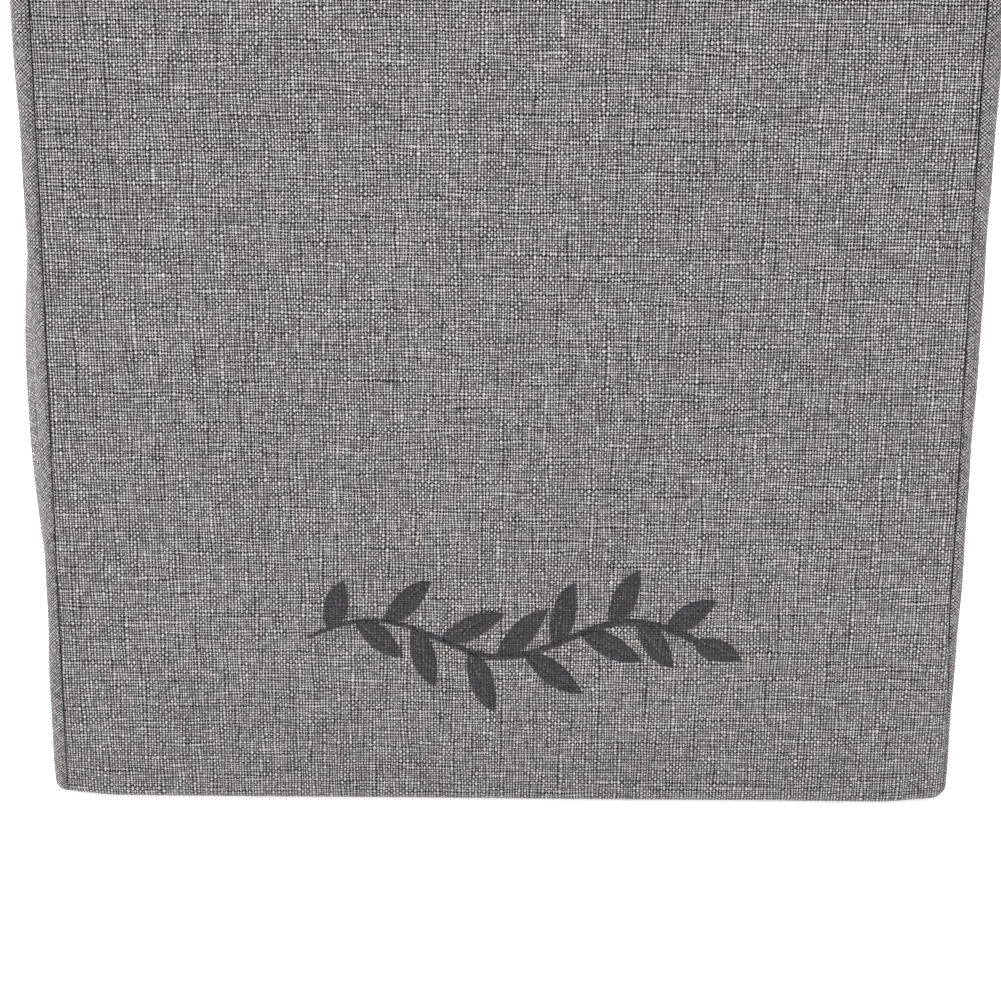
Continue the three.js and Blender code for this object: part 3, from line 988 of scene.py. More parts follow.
across_side = np.unique(np.round(np.r_[
    steps_along(-SIDE_HALF, -0.001, 0.0065),
    steps_along(0.001, SIDE_HALF, 0.0065), -0.0005, 0.0, 0.0005], 6))
side_covers = {}
for side, word in ((-1, "left"), (1, "right")):
    def side_rule(y, v):
        """The side's cloth, dipping at both edges where the welts lap over it."""
        z, inset = turned_under(v, 0.0014)
        edge = SIDE_HALF - np.abs(y)
        proud = side_swell(side, y, v) - 0.0006 * np.exp(-edge / 0.0012)
        return side * (HALF_WIDTH + proud - np.minimum(inset, 0.006)), y, z, y

    cover = cloth_piece(f"{word}_linen_cover", across_side, height_stops, side_rule, COVER,
                        flip=side < 0)
    punch_eyelets(cover, side)
    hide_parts(f"{word}_rear_cover", f"{word}_fore_cover")
    dress(cover, linen)
    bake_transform(cover)
    side_covers[word] = cover
    print(cover.name, len(cover.data.polygons), "faces")

# %% [markdown]
# ## The lining
# The lining is sewn in at the rim and the bottom and hangs a little loose, with long
# shallow ripples. The front and back pieces turn the inner corners, so that no gap
# shows between the walls when one looks in.

# %% Where the lining hangs
INSIDE_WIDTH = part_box("right_fore_lining")[0][0]
INSIDE_DEPTH = -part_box("front_lining")[1][1]
INSIDE_CORNER = 0.005
PAST_CORNER = 0.0050
lining_rows = np.r_[0.0075, 0.012, np.linspace(0.02, WALL_TOP - 0.006, 60), WALL_TOP]


def ripple(s, v):
    """Long shallow waves that die out at the rim and the bottom."""
    fade = smooth(v, 0.02, 0.15) * smooth(-v, -0.58, -0.45)
    return 0.0005 * np.sin(s * 47 + 1.5 * np.sin(v * 9)) * fade


# %% Front and back linings
for end, word in ((-1, "front"), (1, "back")):
    def lining_rule(s, v):
        """The lining inside one wall, and a little way round both inner corners."""
        x, y, nx, ny = outline(s, INSIDE_WIDTH, INSIDE_DEPTH, INSIDE_CORNER, end)
        proud = 0.0006 * smooth(v, 0.02, 0.1) * smooth(-v, -0.58, -0.5) + ripple(s, v)
        return x - nx * proud, y - ny * proud, v, s

    reach = INSIDE_WIDTH - INSIDE_CORNER + INSIDE_CORNER * math.pi / 2 + PAST_CORNER
    stops = np.r_[np.linspace(-reach, -reach + 0.014, 9), np.linspace(-0.17, 0.17, 50),
                  np.linspace(reach - 0.014, reach, 9)]
    sheet = cloth_piece(f"{word}_taffeta_lining", stops, lining_rows, lining_rule, 0.0007,
                        flip=end < 0)
    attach(sheet, word)
    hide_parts(f"{word}_lining")
    dress(sheet, lining_cloth)

print("lining reaches", round(reach, 4), "m each way from the middle")

# %% Side linings
for side, word in ((-1, "left"), (1, "right")):
    def side_lining_rule(y, v):
        """A side's lining, held flat at the crease and at both corners."""
        edge = smooth(np.abs(y), 0.004, 0.02) * smooth(-np.abs(y), -0.1335, -0.12)
        proud = (0.0005 + ripple(y + 0.3 * side, v)) * edge
        return side * (INSIDE_WIDTH - proud), y, v, y

    stops = np.unique(np.round(np.r_[steps_along(-SIDE_HALF, -0.001, 0.008),
                                     steps_along(0.001, SIDE_HALF, 0.008), 0.0], 6))
    sheet = cloth_piece(f"{word}_taffeta_lining", stops, lining_rows, side_lining_rule, 0.0007,
                        flip=side > 0)
    punch_eyelets(sheet, side)
    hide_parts(f"{word}_rear_lining", f"{word}_fore_lining")
    dress(sheet, lining_cloth)
    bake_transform(sheet)
    print(sheet.name, len(sheet.data.polygons), "faces")

# %% [markdown]
# ## The soft bottom
# The bottom is a cloth tray: a flat floor whose edge comes up inside the walls. It has
# no board, so the real one gathers when the hamper folds. It is lofted from rings, each a
# rectangle with rounded corners, and here it rides on the back wall's body.

# %% Rings, and a skin over them
TIGHTEST = 0.0012         # the smallest corner a ring may have


def ring(inset, z, per_side=14):
    """The points of a rounded rectangle, anticlockwise from above."""
    r = max(CORNER - inset, TIGHTEST)
    x, y = HALF_WIDTH - inset - r, HALF_DEPTH - inset - r
    points = []
    for cx, cy, start in ((x, y, 0), (-x, y, 90), (-x, -y, 180), (x, -y, 270)):
        for k in range(7):
            turn = math.radians(start + 15 * k)
            points.append((cx + r * math.cos(turn), cy + r * math.sin(turn)))
    full = []
    for a, b in zip(points, points[1:] + points[:1]):
        straight = math.dist(a, b) > 0.02
        parts = per_side if straight else 1
        full += [(a[0] + (b[0] - a[0]) * k / parts, a[1] + (b[1] - a[1]) * k / parts, z)
                 for k in range(parts)]
    return full


def loft(name, rings):
    """Joins rings of equal length into one skin, closed at the last and mapped from above."""
    count = len(rings[0])
    points = [p for one in rings for p in one]
    faces = []
    for j in range(len(rings) - 1):
        for i in range(count):
            a, b = j * count + i, j * count + (i + 1) % count
            faces.append((a, a + count, b + count, b))
    last = (len(rings) - 1) * count
    faces.append(tuple(range(last + count - 1, last - 1, -1)))
    return mesh_piece(name, points, faces, [(x, y + z) for x, y, z in points])


# %% The tray, from its rim to its floor
tray_section = [(0.0015, 0.0086), (0.0015, 0.0070), (0.0015, 0.0056), (0.0021, 0.0041),
                (0.0034, 0.0027), (0.0052, 0.0019), (0.0066, 0.0010), (0.0078, 0.0001),
                (0.0120, 0.0)]
bottom_cloth = loft("soft_cloth_bottom", [ring(i, z) for i, z in tray_section])
finish_with(bottom_cloth, "SOLIDIFY", thickness=0.0011, offset=-1.0)
dress(bottom_cloth, linen)
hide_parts("bottom_pan")
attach(bottom_cloth, "back")
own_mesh(bottom_cloth)
print("bottom:", len(bottom_cloth.data.polygons), "faces")

# %% [markdown]
# ## Tape over the rim
# Grosgrain tape is folded over the top edge of each wall. Its section is an upside-down
# U with a rounded top, swept along the wall. On the sides it crosses the crease in one
# piece that stays where it is laid.

# %% Sweep a section along a wall
def sweep(name, stations, section, point_at):
    """A closed section, a list of (out, z), carried along stations and capped."""
    n = len(section)
    points, uv, faces = [], [], []
    along = np.r_[0, np.cumsum([math.dist(a, b) for a, b in zip(section, section[1:])])]
    for s in stations:
        for k, (out, z) in enumerate(section):
            points.append(point_at(s, out, z))
            uv.append((s, along[k]))
    for j in range(len(stations) - 1):
        for k in range(n):
            a, b = j * n + k, j * n + (k + 1) % n
            faces.append((a, b, b + n, a + n))
    faces.append(tuple(range(n - 1, -1, -1)))
    faces.append(tuple(range((len(stations) - 1) * n, len(stations) * n)))
    return tidy_mesh(mesh_piece(name, points, faces, uv))


# %% The tape's section over a wall
def channel(wall, low, high, off, thick):
    """Outer leg up, round the top, inner leg down, and back inside."""
    turn = np.linspace(0, math.pi, 11)
    mid, outer = -wall / 2, wall / 2 + off
    rise = 0.0035
    over = [(mid + outer * math.cos(t), high - rise + rise * math.sin(t)) for t in turn]
    under = [(mid + (outer - thick) * math.cos(t), high - rise + (rise - thick) * math.sin(t))
             for t in turn[::-1]]
    legs = [(mid + outer, low), (mid + outer + 0.0001, low + 0.004)]
    back_leg = [(mid - outer - 0.0001, low + 0.004), (mid - outer, low)]
    inner = [(mid - outer + thick, low), (mid - outer + thick, low + 0.004)]
    inner_front = [(mid + outer - thick, low + 0.004), (mid + outer - thick, low)]
    return legs + over + back_leg + inner + under + inner_front


WALL = 0.0056             # cover, board and lining together
rim_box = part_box("front_rim_binding")
rim_section = channel(WALL, rim_box[0][2], rim_box[1][2], 0.0011, 0.0007)


# %% Four rim tapes
def round_corner_tape(end):
    """Where a tape that turns the front or back corners lies."""
    def point_at(s, out, z):
        """A point of the section, s metres along the rim."""
        x, y, nx, ny = outline(s, end=end)
        return float(x + nx * out), float(y + ny * out), z
    return point_at


edge_reach = FLAT + CORNER * math.pi / 2 + 0.0075
rim_stations = np.r_[np.linspace(-edge_reach, -0.188, 16), np.linspace(-0.18, 0.18, 40),
                     np.linspace(0.188, edge_reach, 16)]
for end, word in ((-1, "front"), (1, "back")):
    tape = sweep(f"{word}_rim_tape", rim_stations, rim_section, round_corner_tape(end))
    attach(tape, word)
    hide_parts(f"{word}_rim_binding")
    dress(tape, grosgrain)
for side, word in ((-1, "left"), (1, "right")):
    stations = np.unique(np.r_[np.linspace(-0.1345, -0.01, 24), np.linspace(-0.008, 0.008, 17),
                               np.linspace(0.01, 0.1345, 24)])
    tape = sweep(f"{word}_rim_tape", stations, rim_section,
                 lambda y, out, z: (side * (HALF_WIDTH + out), y, z))
    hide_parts(f"{word}_rear_rim_binding", f"{word}_fore_rim_binding")
    dress(tape, grosgrain)
    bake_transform(tape)
print("tape over the front rim:", round(2 * edge_reach, 3), "m")

# %% [markdown]
# ## Eyelets
# A two-part eyelet is pressed sheet metal: a rolled flange outside, a barrel through
# the wall, and a washer inside. Its half section is drawn once and spun round its axis,
# like a lathe. The spin leaves a doubled seam, which is merged before the faces are
# turned outwards.

# %% Spin one eyelet and copy it
def turned_eyelet():
    """Flange, barrel and washer, from points given as radius and height in millimetres."""
    half = [(5.75, -7.0), (5.75, 0.2), (6.1, 1.0), (7.0, 1.45), (8.6, 1.45), (10.4, 1.15),
            (11.6, 0.6), (12.0, 0.25), (11.8, 0.1), (10.0, 0.55), (8.4, 0.75), (7.2, 0.7),
            (6.75, 0.2), (6.75, -5.8), (7.4, -6.15), (10.0, -5.95), (11.8, -5.7),
            (12.0, -5.85), (11.6, -6.3), (9.0, -6.95), (7.0, -7.1)]
    points = [(z * MM, 0, r * MM) for r, z in half]
    edges = [(i, (i + 1) % len(half)) for i in range(len(half))]
    mesh = bpy.data.meshes.new("eyelet")
    mesh.from_pydata(points, edges, [])
    made = bpy.data.objects.new("eyelet", mesh)
    scene.collection.objects.link(made)
    only(made)
    bpy.ops.object.mode_set(mode="EDIT")
    bpy.ops.mesh.select_all(action="SELECT")
    bpy.ops.mesh.spin(steps=56, angle=2 * math.pi, center=(0, 0, 0), axis=(1, 0, 0))
    bpy.ops.mesh.select_all(action="SELECT")
    bpy.ops.mesh.remove_doubles(threshold=1e-6)
    bpy.ops.mesh.normals_make_consistent(inside=False)
    bpy.ops.object.mode_set(mode="OBJECT")
    bpy.ops.object.shade_smooth_by_angle(angle=math.radians(50))
    return made


pattern_eyelet = turned_eyelet()
for side, word in ((-1, "left"), (1, "right")):
    for end, y in (("rear", HANDLE_SPREAD), ("fore", -HANDLE_SPREAD)):
        eyelet = pattern_eyelet.copy()
        eyelet.data = pattern_eyelet.data.copy()
        eyelet.name = f"{word}_{end}_pressed_eyelet"
        scene.collection.objects.link(eyelet)
        move = Matrix.Translation((side * HALF_WIDTH, y, HANDLE_HEIGHT))
        if side < 0:
            move = move @ Matrix.Rotation(math.pi, 4, "Z")
        eyelet.data.transform(move)
        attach(eyelet, f"{word}_{end}")
        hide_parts(f"{word}_{end}_grommet")
        dress(eyelet, steel)
bpy.data.objects.remove(pattern_eyelet)

# %% [markdown]
# ## The base insert
# A board wrapped in cloth, with a ribbon at the front to lift it by. The wrap is a grid
# pressed over the board: flat on top, rolled down at the edges.

# %% A sheet with rounded corners and rolled edges
GRID = 0.008              # spacing in the middle of a sheet


def pressed_sheet(name, low, high, top, corner, roll, swell, thick, corners=None, apron=0.0):
    """A sheet over a slab that spans low to high in plan. Its corners are rounded in plan,
    its edges roll down and its middle swells up. corners="front" leaves the rear corners
    square, and an apron hangs that far down from the rear edge."""
    def stops(a, b):
        """Grid stops from a to b, close together where the sheet rolls down."""
        edge = roll * (1 - np.cos(np.linspace(0, math.pi / 2, 7)))
        near = np.linspace(roll * 1.3, corner + 0.003, 6)
        inner = np.linspace(a + corner + GRID, b - corner - GRID, max(4, int((b - a) / GRID)))
        return np.r_[a + edge, a + near, inner, b - near[::-1], b - edge[::-1]]

    def rule(x, y):
        """Bends the square corners to rounded ones, then drops the edges."""
        hang = np.maximum(y - high[1], 0)
        y = np.minimum(y, high[1])
        mid = (np.array(low[:2]) + np.array(high[:2])) / 2
        half = (np.array(high[:2]) - np.array(low[:2])) / 2
        px, py = x - mid[0], y - mid[1]
        edge = np.minimum(half[0] - np.abs(px), half[1] - np.abs(py))
        a = np.clip((np.abs(px) - half[0] + corner) / corner, 0, 1)
        b = np.clip((np.abs(py) - half[1] + corner) / corner, 0, 1)
        front = py < 0 if corners == "front" else np.full(py.shape, True)
        both = (a > 0) & (b > 0) & front
        ra = np.where(both, a * np.sqrt(np.maximum(1 - b * b / 2, 0)), a)
        rb = np.where(both, b * np.sqrt(np.maximum(1 - a * a / 2, 0)), b)
        px = np.sign(px) * np.where(a > 0, half[0] - corner + corner * ra, np.abs(px))
        py = np.sign(py) * np.where(b > 0, half[1] - corner + corner * rb, np.abs(py))
        down = np.clip(roll - edge, 0, roll)
        z = top - roll + np.sqrt(np.maximum(roll * roll - down * down, 0))
        dome = np.clip(1 - (px / half[0]) ** 2, 0, 1) * np.clip(1 - (py / half[1]) ** 2, 0, 1)
        waves = 0.0002 * np.sin(px * 39 + 1) * np.sin(py * 47)
        return px + mid[0], py + mid[1], z + swell * dome ** 0.5 + waves * dome - hang, x

    depth_stops = stops(low[1], high[1])
    if apron:
        depth_stops = np.r_[depth_stops, high[1] + np.linspace(0.2, 1, 4) * apron]
    return cloth_piece(name, stops(low[0], high[0]), depth_stops, rule, thick)


# %% The cloth round the base board
board_low, board_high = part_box("base_board")
OVER_BOARD = 0.0008       # the cloth stands this far outside its board
base_wrap = pressed_sheet("base_cloth_wrap",
                          (board_low[0] - OVER_BOARD, board_low[1] - OVER_BOARD),
                          (board_high[0] + OVER_BOARD, board_high[1] + 0.0001),
                          top=0.0055, corner=0.006, roll=0.0022, swell=0.0003, thick=0.0007)
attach(base_wrap, "base")
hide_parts("base_cover")
dress(base_wrap, lining_cloth)
print("base wrap:", len(base_wrap.data.polygons), "faces")

# %% The pull ribbon
ribbon_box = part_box("base_pull_ribbon")


def ribbon_rule(x, y):
    """Sewn down at both ends, it stands up a little between them."""
    t = (y - ribbon_box[0][1]) / (ribbon_box[1][1] - ribbon_box[0][1])
    lift = 0.0005 * np.sin(math.pi * np.clip((t - 0.12) / 0.76, 0, 1)) ** 1.4
    return x + 0.0006 * np.sin(7 * t), y, 0.0067 + lift - 0.0002 * (x / 0.015) ** 2, y


ribbon = cloth_piece("base_pull_ribbon_loop", np.linspace(-0.015, 0.015, 13),
                     np.linspace(ribbon_box[0][1], ribbon_box[1][1], 41), ribbon_rule, 0.0007)
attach(ribbon, "base")
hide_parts("base_pull_ribbon")
dress(ribbon, grosgrain)
print("ribbon:", len(ribbon.data.polygons), "faces")

# %% [markdown]
# ## The lid
# The lid is a board with a padded-looking cloth top, a skirt that hangs over the rim on
# three sides, a lining below and a webbing tab at the front. The skirt is one band that
# rounds the two front corners, with a hem, so it is a section swept round a U.

# %% Lid top
lid_low, lid_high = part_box("lid_cover_top")
lid_top = pressed_sheet("lid_linen_top", (lid_low[0], lid_low[1]), (lid_high[0], lid_high[1]),
                        top=lid_high[2] - 0.0002, corner=0.009, roll=0.0032, swell=0.0024,
                        thick=0.0012, corners="front", apron=0.0022)
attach(lid_top, "lid")
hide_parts("lid_cover_top")
dress(lid_top, linen)
print("lid top:", len(lid_top.data.polygons), "faces")

# %% Lid lining
under_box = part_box("lid_lining")


def lid_lining_rule(x, y):
    """Flat at its edges, where it is glued down, with a little sag between them."""
    middle = (under_box[0][1] + under_box[1][1]) / 2
    half = (under_box[1][1] - under_box[0][1]) / 2
    dome = np.clip(1 - (x / under_box[1][0]) ** 2, 0, 1)
    dome = dome * np.clip(1 - ((y - middle) / half) ** 2, 0, 1)
    sag = 0.0012 * dome ** 0.5 + 0.0003 * np.sin(x * 43 + 2 * np.sin(y * 31)) * dome
    return x, y, under_box[0][2] + 0.0001 - sag, x


lid_lining = cloth_piece("lid_taffeta_lining",
                         np.linspace(under_box[0][0], under_box[1][0], 52),
                         np.linspace(under_box[0][1], under_box[1][1], 40),
                         lid_lining_rule, 0.0007, flip=True)
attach(lid_lining, "lid")
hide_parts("lid_lining")
dress(lid_lining, lining_cloth)
print("lid lining:", len(lid_lining.data.polygons), "faces")

# %% The skirt's section and its route
skirt_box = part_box("lid_skirt_front")
LID_HALF, LID_DEPTH, LID_CORNER = -skirt_box[0][0], -skirt_box[0][1], 0.009
skirt_low, skirt_high = skirt_box[0][2], lid_high[2] - 0.0037
HEM_SEAM = 0.5784
# Each point is how far out and how high. The face dips into the hem's seam.
skirt_section = [(-0.0006, skirt_high), (0.0, 0.6012), (0.0001, 0.596), (0.0001, 0.590),
                 (0.0001, 0.584), (0.0, 0.580), (-0.0004, HEM_SEAM), (0.0, 0.5768),
                 (0.0003, 0.5750), (0.0001, 0.5732),
                 (-0.0006, skirt_low + 0.0003), (-0.0015, skirt_low),
                 (-0.0024, skirt_low + 0.0003), (-0.0030, 0.5735), (-0.0030, 0.580),
                 (-0.0030, 0.590), (-0.0030, 0.600), (-0.0028, skirt_high)]
flat_part = LID_HALF - LID_CORNER
bend_part = flat_part + LID_CORNER * math.pi / 2
U_REACH = bend_part + (LID_DEPTH + lid_high[1] - LID_CORNER)


def skirt_point(s, out, z):
    """A point of the section, s metres round the U, with a wave that grows downwards."""
    x, y, nx, ny = outline(s, LID_HALF, LID_DEPTH, LID_CORNER)
    wave = 0.00025 * math.sin(s * 46) * (skirt_high - z) / 0.03
    return float(x + nx * (out + wave)), float(y + ny * (out + wave)), z


# %% Sweep the skirt
one_side = np.r_[np.linspace(0.006, flat_part, 26), np.linspace(flat_part, bend_part, 10)[1:],
                 np.linspace(bend_part, U_REACH, 34)[1:]]
skirt = sweep("lid_linen_skirt", np.r_[-one_side[::-1], one_side], skirt_section, skirt_point)
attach(skirt, "lid")
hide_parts("lid_skirt_front", "lid_skirt_left", "lid_skirt_right")
dress(skirt, linen)
print("skirt:", len(skirt.data.polygons), "faces")

# %% [markdown]
# ## Tab and hinge
# The tab is webbing folded double, with a round end, so it is one more swept section. The
# hinge is a strip of tape, sewn to the back wall and to the lid's rear edge, with a little
# slack where it rounds the rim. A stiff pin hinge would be simpler to make, and wrong: the
# real strip bends between the lid and the back. Here the strip is laid once, where the
# closed lid puts it, and rides on no body.

# %% Pull tab
tab_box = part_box("lid_pull_tab")
tab_mid = (tab_box[0][1] + tab_box[1][1]) / 2
tab_low = tab_box[0][2]
round_end = [(tab_mid - 0.0011 * math.cos(t), tab_low + 0.0013 - 0.0013 * math.sin(t))
             for t in np.linspace(0, math.pi, 9)]
# Half the tab's thickness, and the height, from its top down to where the end begins.
tab_leg = [(0.00080, 0.5745), (0.00085, 0.566), (0.00085, 0.558), (0.0009, 0.552)]
tab_section = ([(tab_mid - half, z) for half, z in tab_leg] + round_end
               + [(tab_mid + half, z) for half, z in tab_leg[::-1]])
tab = sweep("lid_webbing_tab", np.linspace(tab_box[0][0], tab_box[1][0], 15), tab_section,
            lambda x, y, z: (x * (1 - 0.02 * smooth(-z, -0.574, -0.56)), y, z))
only(tab)
bpy.ops.object.shade_smooth_by_angle(angle=math.radians(60))
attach(tab, "lid")
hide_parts("lid_pull_tab")
dress(tab, grosgrain)
print("tab:", len(tab.data.polygons), "faces")

# %% Hinge cloth
hinge_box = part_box("lid_hinge_tape")
hinge_line = smooth_route([(0, 0.1508, hinge_box[0][2]), (0, 0.1508, 0.568), (0, 0.1508, 0.580),
                           (0, 0.1511, 0.5868), (0, 0.1527, 0.5915), (0, 0.1535, 0.5965),
                           (0, 0.1532, 0.6010), (0, 0.1520, 0.6040), (0, 0.1500, 0.6061),
                           (0, 0.1460, 0.6070), (0, 0.1400, 0.6072)], steps=5)
hinge_along = np.r_[0, np.cumsum(np.linalg.norm(np.diff(hinge_line, axis=0), axis=1))]


def hinge_rule(x, v):
    """The strip's line at v metres along it, the same at every x."""
    y = np.interp(v, hinge_along, hinge_line[:, 1])
    z = np.interp(v, hinge_along, hinge_line[:, 2])
    return x, y, z, x


hinge = cloth_piece("lid_hinge_cloth", np.linspace(hinge_box[0][0], hinge_box[1][0], 60),
                    hinge_along, hinge_rule, 0.0006, flip=True)
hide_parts("lid_hinge_tape")
dress(hinge, grosgrain)
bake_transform(hinge)
print("hinge strip:", round(hinge_along[-1], 4), "m long")

# %% [markdown]
# ## The fastening
# Two patches of hook-and-loop tape hold the lid's skirt to the front wall, each with its
# partner inside the skirt. A patch is a thin block whose corners are rounded with a bevel,
# and two insets press a seam round its faces.

# %% One patch
PATCH_CORNER = 0.0022
PATCH_BORDER = 0.0013     # from the patch's edge to its seam
SEAM_WIDTH = 0.0006
SEAM_DEPTH = 0.00012


def tape_patch(name, node_name, body):
    """A strip of nylon tape with rounded corners and a low sewn-down border."""
    low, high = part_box(node_name)
    size = [b - a for a, b in zip(low, high)]
    middle = [(a + b) / 2 for a, b in zip(low, high)]
    bpy.ops.object.select_all(action="DESELECT")
    bpy.ops.mesh.primitive_cube_add(size=1, location=middle, scale=size)
    made = bpy.context.object
    made.name = name
    only(made)
    bpy.ops.object.transform_apply(location=True, rotation=True, scale=True)
    edit = bmesh.new()
    edit.from_mesh(made.data)
    upright = [e for e in edit.edges if abs(e.verts[0].co.y - e.verts[1].co.y) > 0.0005]
    bmesh.ops.bevel(edit, geom=upright, offset=PATCH_CORNER, segments=5, affect="EDGES")
    edit.normal_update()
    broad = [f for f in edit.faces if abs(f.normal.y) > 0.9]
    bmesh.ops.inset_individual(edit, faces=broad, thickness=PATCH_BORDER, depth=-SEAM_DEPTH)
    bmesh.ops.inset_individual(edit, faces=broad, thickness=SEAM_WIDTH, depth=SEAM_DEPTH)
    bmesh.ops.recalc_face_normals(edit, faces=edit.faces)
    edit.to_mesh(made.data)
    edit.free()
    bpy.ops.object.shade_smooth_by_angle(angle=math.radians(35))
    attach(made, body)
    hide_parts(node_name)
    dress(made, loop_tape)
    return made


# %% Loops on the front wall, hooks on the lid
for word in ("left", "right"):
    tape_patch(f"{word}_loop_tape", f"{word}_loop_patch", "front")
    tape_patch(f"{word}_hook_tape", f"{word}_hook_patch", "lid")

# %% [markdown]
# ## The sprig
# The front carries one print: a waving stem with leaves to each side in turn. A leaf is
# two half blades with a thin unprinted vein between them. Each blade is a small grid
# between the vein and the leaf's edge, laid on the same rule as the front cover, so the
# film follows the cloth.

# %% The sprig's stem and the curve of a leaf
SPRIG_WIDTH, SPRIG_HEIGHT = 0.202, 0.080
LEAF_LENGTH, LEAF_WIDTH, LEAF_LEAN, LEAVES = 0.032, 0.010, 0.85, 13
VEIN = 0.00028            # half the unprinted gap along a leaf's middle
FILM_HEIGHT = 0.00042     # the film's face above the cloth's rule


def stem_point(t):
    """The stem's middle, a wave and a half, with t from 0 to 1."""
    return np.array([(t - 0.5) * (SPRIG_WIDTH - LEAF_LENGTH),
                     0.0085 * math.sin(2 * math.pi * 1.5 * t)])


def stem_heading(t):
    """The way the stem runs at t, as an angle."""
    step = stem_point(t + 0.001) - stem_point(t - 0.001)
    return math.atan2(step[1], step[0])


def bezier(a, b, c, d, t):
    """A cubic curve from a to d that is pulled towards b and c."""
    t = t[:, None]
    a, b, c, d = (np.array(p, float) for p in (a, b, c, d))
    return (1 - t) ** 3 * a + 3 * (1 - t) ** 2 * t * b + 3 * (1 - t) * t * t * c + t ** 3 * d


# %% The edges of every blade
blades = []
run = np.linspace(0, 1, 61)
middle = np.array([stem_point(t) for t in run])
sideways = np.array([[-math.sin(stem_heading(t)), math.cos(stem_heading(t))] for t in run])
half = (0.0015 * (0.4 + 0.6 * np.sqrt(run)))[:, None]
blades.append((middle - sideways * half, middle + sideways * half))
places = [(0.995, 0.0)] + [(0.05 + 0.87 * i / (LEAVES - 1), LEAF_LEAN * (-1) ** i)
                           for i in range(LEAVES)]
for t, lean in places:
    length = LEAF_LENGTH * (0.72 + 0.28 * math.sin(math.pi * t))
    u = 0.5 - 0.5 * np.cos(np.linspace(0.02, math.pi, 25))
    lower = bezier((0, 0), (0.25 * length, -LEAF_WIDTH), (0.7 * length, -0.45 * LEAF_WIDTH),
                   (length, 0), u)
    upper = bezier((0, 0), (0.3 * length, 0.6 * LEAF_WIDTH), (0.75 * length, 0.75 * LEAF_WIDTH),
                   (length, 0), u)
    vein = np.stack([u * length, 0.0006 * np.sin(math.pi * u)], axis=1)
    open_vein = np.clip(1 - u * 1.15, 0, 1) ** 0.5 * smooth(u, 0.05, 0.12)
    gap = np.stack([0 * u, VEIN * open_vein], axis=1)
    turn = stem_heading(t) + lean
    cos, sin = math.cos(turn), math.sin(turn)
    mirror = -1 if lean < 0 else 1
    for near, far in ((vein - gap, lower), (vein + gap, upper)):
        pair = []
        for line in (near, far):
            line = line * (1, mirror)
            pair.append(line @ np.array([[cos, sin], [-sin, cos]]) + stem_point(t))
        blades.append(tuple(pair))
print("blades:", len(blades))

# %% Lay the blades on the cloth
points, faces, uv = [], [], []
for near, far in blades:
    start = len(points)
    for k in range(len(near)):
        for w in np.linspace(0, 1, 4):
            s, h = near[k] * (1 - w) + far[k] * w
            v = np.array(SPRIG_HEIGHT + h)
            x, y, z = front_point(np.array(s), v, crown(s, v) + FILM_HEIGHT)
            points.append((float(x), float(y), float(z)))
            uv.append((s, float(v)))
    for k in range(len(near) - 1):
        for w in range(3):
            q = start + k * 4 + w
            face = (q, q + 1, q + 5, q + 4)
            a, b, c = (np.array(points[i])[[0, 2]] for i in face[:3])
            one, two = b - a, c - b
            faces.append(face if one[0] * two[1] - one[1] * two[0] > 0 else face[::-1])
sprig = mesh_piece("leaf_sprig_film", points, faces, uv)
finish_with(sprig, "SOLIDIFY", thickness=0.0003, offset=-1.0)
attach(sprig, "front")
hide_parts("front_transfer")
dress(sprig, film)
print("sprig:", len(sprig.data.polygons), "faces")

# %% [markdown]
# ## Stitches
# Lockstitch shows as a row of short, plump dashes that dive into the cloth at both
# ends. One stitch is a small spindle of 20 faces. Each row is one piece made of copies
# set along a line, a stitch length apart.

# %% One row of stitches
STITCH, THREAD = 0.0034, 0.00034
STEP = STITCH * 1.25      # from one stitch to the next


def stitch_row(name, places, body):
    """places is a list of (point, along, out) arrays, one for each stitch."""
    rings = [(-0.5, 0.25, -1.1), (-0.36, 0.85, 0.1), (0.0, 1.0, 0.75), (0.36, 0.85, 0.1),
             (0.5, 0.25, -1.1)]
    points, faces = [], []
    for point, along, out in places:
        cross = np.cross(along, out)
        start = len(points)
        for t, fat, high in rings:
            for k in range(4):
                turn = math.pi / 4 + math.pi / 2 * k
                points.append(point + along * t * STITCH * 0.86 + out * high * THREAD
                              + THREAD * fat * (math.cos(turn) * cross + math.sin(turn) * out))
        for r in range(4):
            for k in range(4):
                a, b = start + r * 4 + k, start + r * 4 + (k + 1) % 4
                faces.append((a, b, b + 4, a + 4))
        faces.append((start + 3, start + 2, start + 1, start))
        faces.append((start + 16, start + 17, start + 18, start + 19))
    piece = tidy_mesh(mesh_piece(name, points, faces))
    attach(piece, body)
    dress(piece, thread)
    return piece


# %% Where the rows run
def on_outline(stops, proud, z, **shape):
    """Stitch places round an outline at one height."""
    row = []
    for s in stops:
        x, y, nx, ny = (float(q) for q in outline(np.array(s), **shape))
        out = np.array([nx, ny, 0.0])
        row.append((np.array([x, y, z]) + out * proud, np.array([-ny, nx, 0.0]), out))
    return row


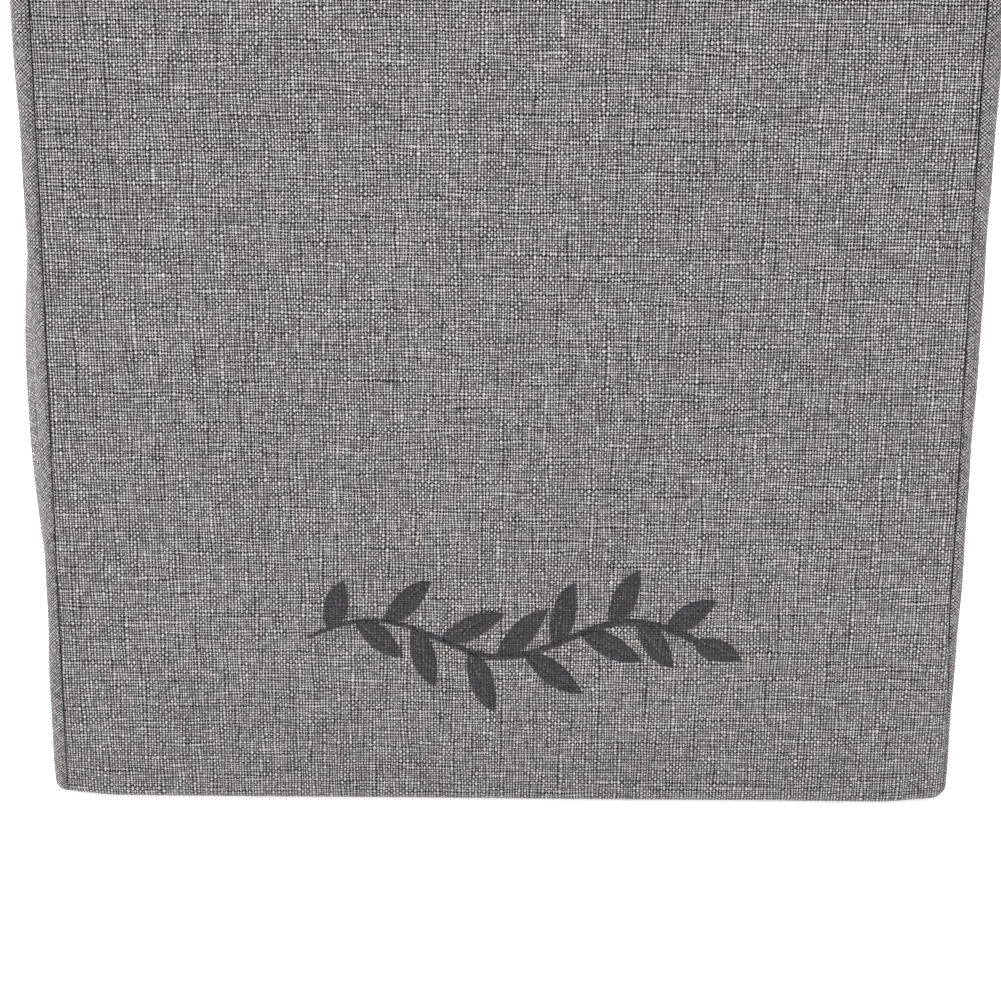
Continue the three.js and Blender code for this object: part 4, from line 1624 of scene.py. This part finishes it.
def upright_row(x, y, out, low, high):
    """Stitch places up a wall."""
    return [(np.array([x, y, z]), np.array([0, 0, 1.0]), np.array(out, float))
            for z in np.arange(low, high, STEP)]


def crosswise_row(y, z, facing, stops):
    """Stitch places across the front (facing -1) or the back (facing 1)."""
    return [(np.array([x, y, z]), np.array([1.0, 0, 0]), np.array([0, facing, 0]))
            for x in stops]


# %% Sew the lid, the rims and the laps
RIM_SEAM = 0.5905
LAP_SEAM = 0.1333         # from the side's crease to the row that holds a welt's lap

lid_shape = {"half_width": LID_HALF, "half_depth": LID_DEPTH, "corner": LID_CORNER}
hem = np.arange(-U_REACH + 0.004, U_REACH - 0.002, STEP)
stitch_row("lid_hem_stitches", on_outline(hem, -0.0003, HEM_SEAM, **lid_shape), "lid")
stitch_row("lid_top_stitches", on_outline(hem, 0.0000, 0.5990, **lid_shape), "lid")
rim = np.arange(-edge_reach + 0.003, edge_reach - 0.002, STEP)
for end, word in ((-1, "front"), (1, "back")):
    stitch_row(f"{word}_rim_stitches", on_outline(rim, 0.0011, RIM_SEAM, end=end), word)
for side, word in ((-1, "left"), (1, "right")):
    for body, low, high in (("rear", 0.007, 0.132), ("fore", -0.132, -0.007)):
        row = [(np.array([side * 0.2011, y, RIM_SEAM]), np.array([0, 1.0, 0]),
                np.array([float(side), 0, 0])) for y in np.arange(low, high, STEP)]
        stitch_row(f"{word}_{body}_rim_stitches", row, f"{word}_{body}")
        y = LAP_SEAM if body == "rear" else -LAP_SEAM
        lap_body = f"{word}_{body}" if (word, body) != ("right", "fore") else "front"
        stitch_row(f"{word}_{body}_lap_stitches",
                   upright_row(side * 0.2014, y, (side, 0, 0), 0.012, 0.585), lap_body)

# %% Sew the hinge and the tab
hinge_row = crosswise_row(0.1509, 0.5590, 1.0, np.arange(-0.189, 0.190, STEP))
stitch_row("hinge_lower_stitches", hinge_row, "back")
tab_front = tab_box[0][1] - 0.0001
across_tab = np.arange(-0.0100, 0.0101, 0.0040)
tab_rows = [place for z in (0.5700, 0.5560)
            for place in crosswise_row(tab_front, z, -1.0, across_tab)]
stitch_row("tab_stitches", tab_rows, "lid")
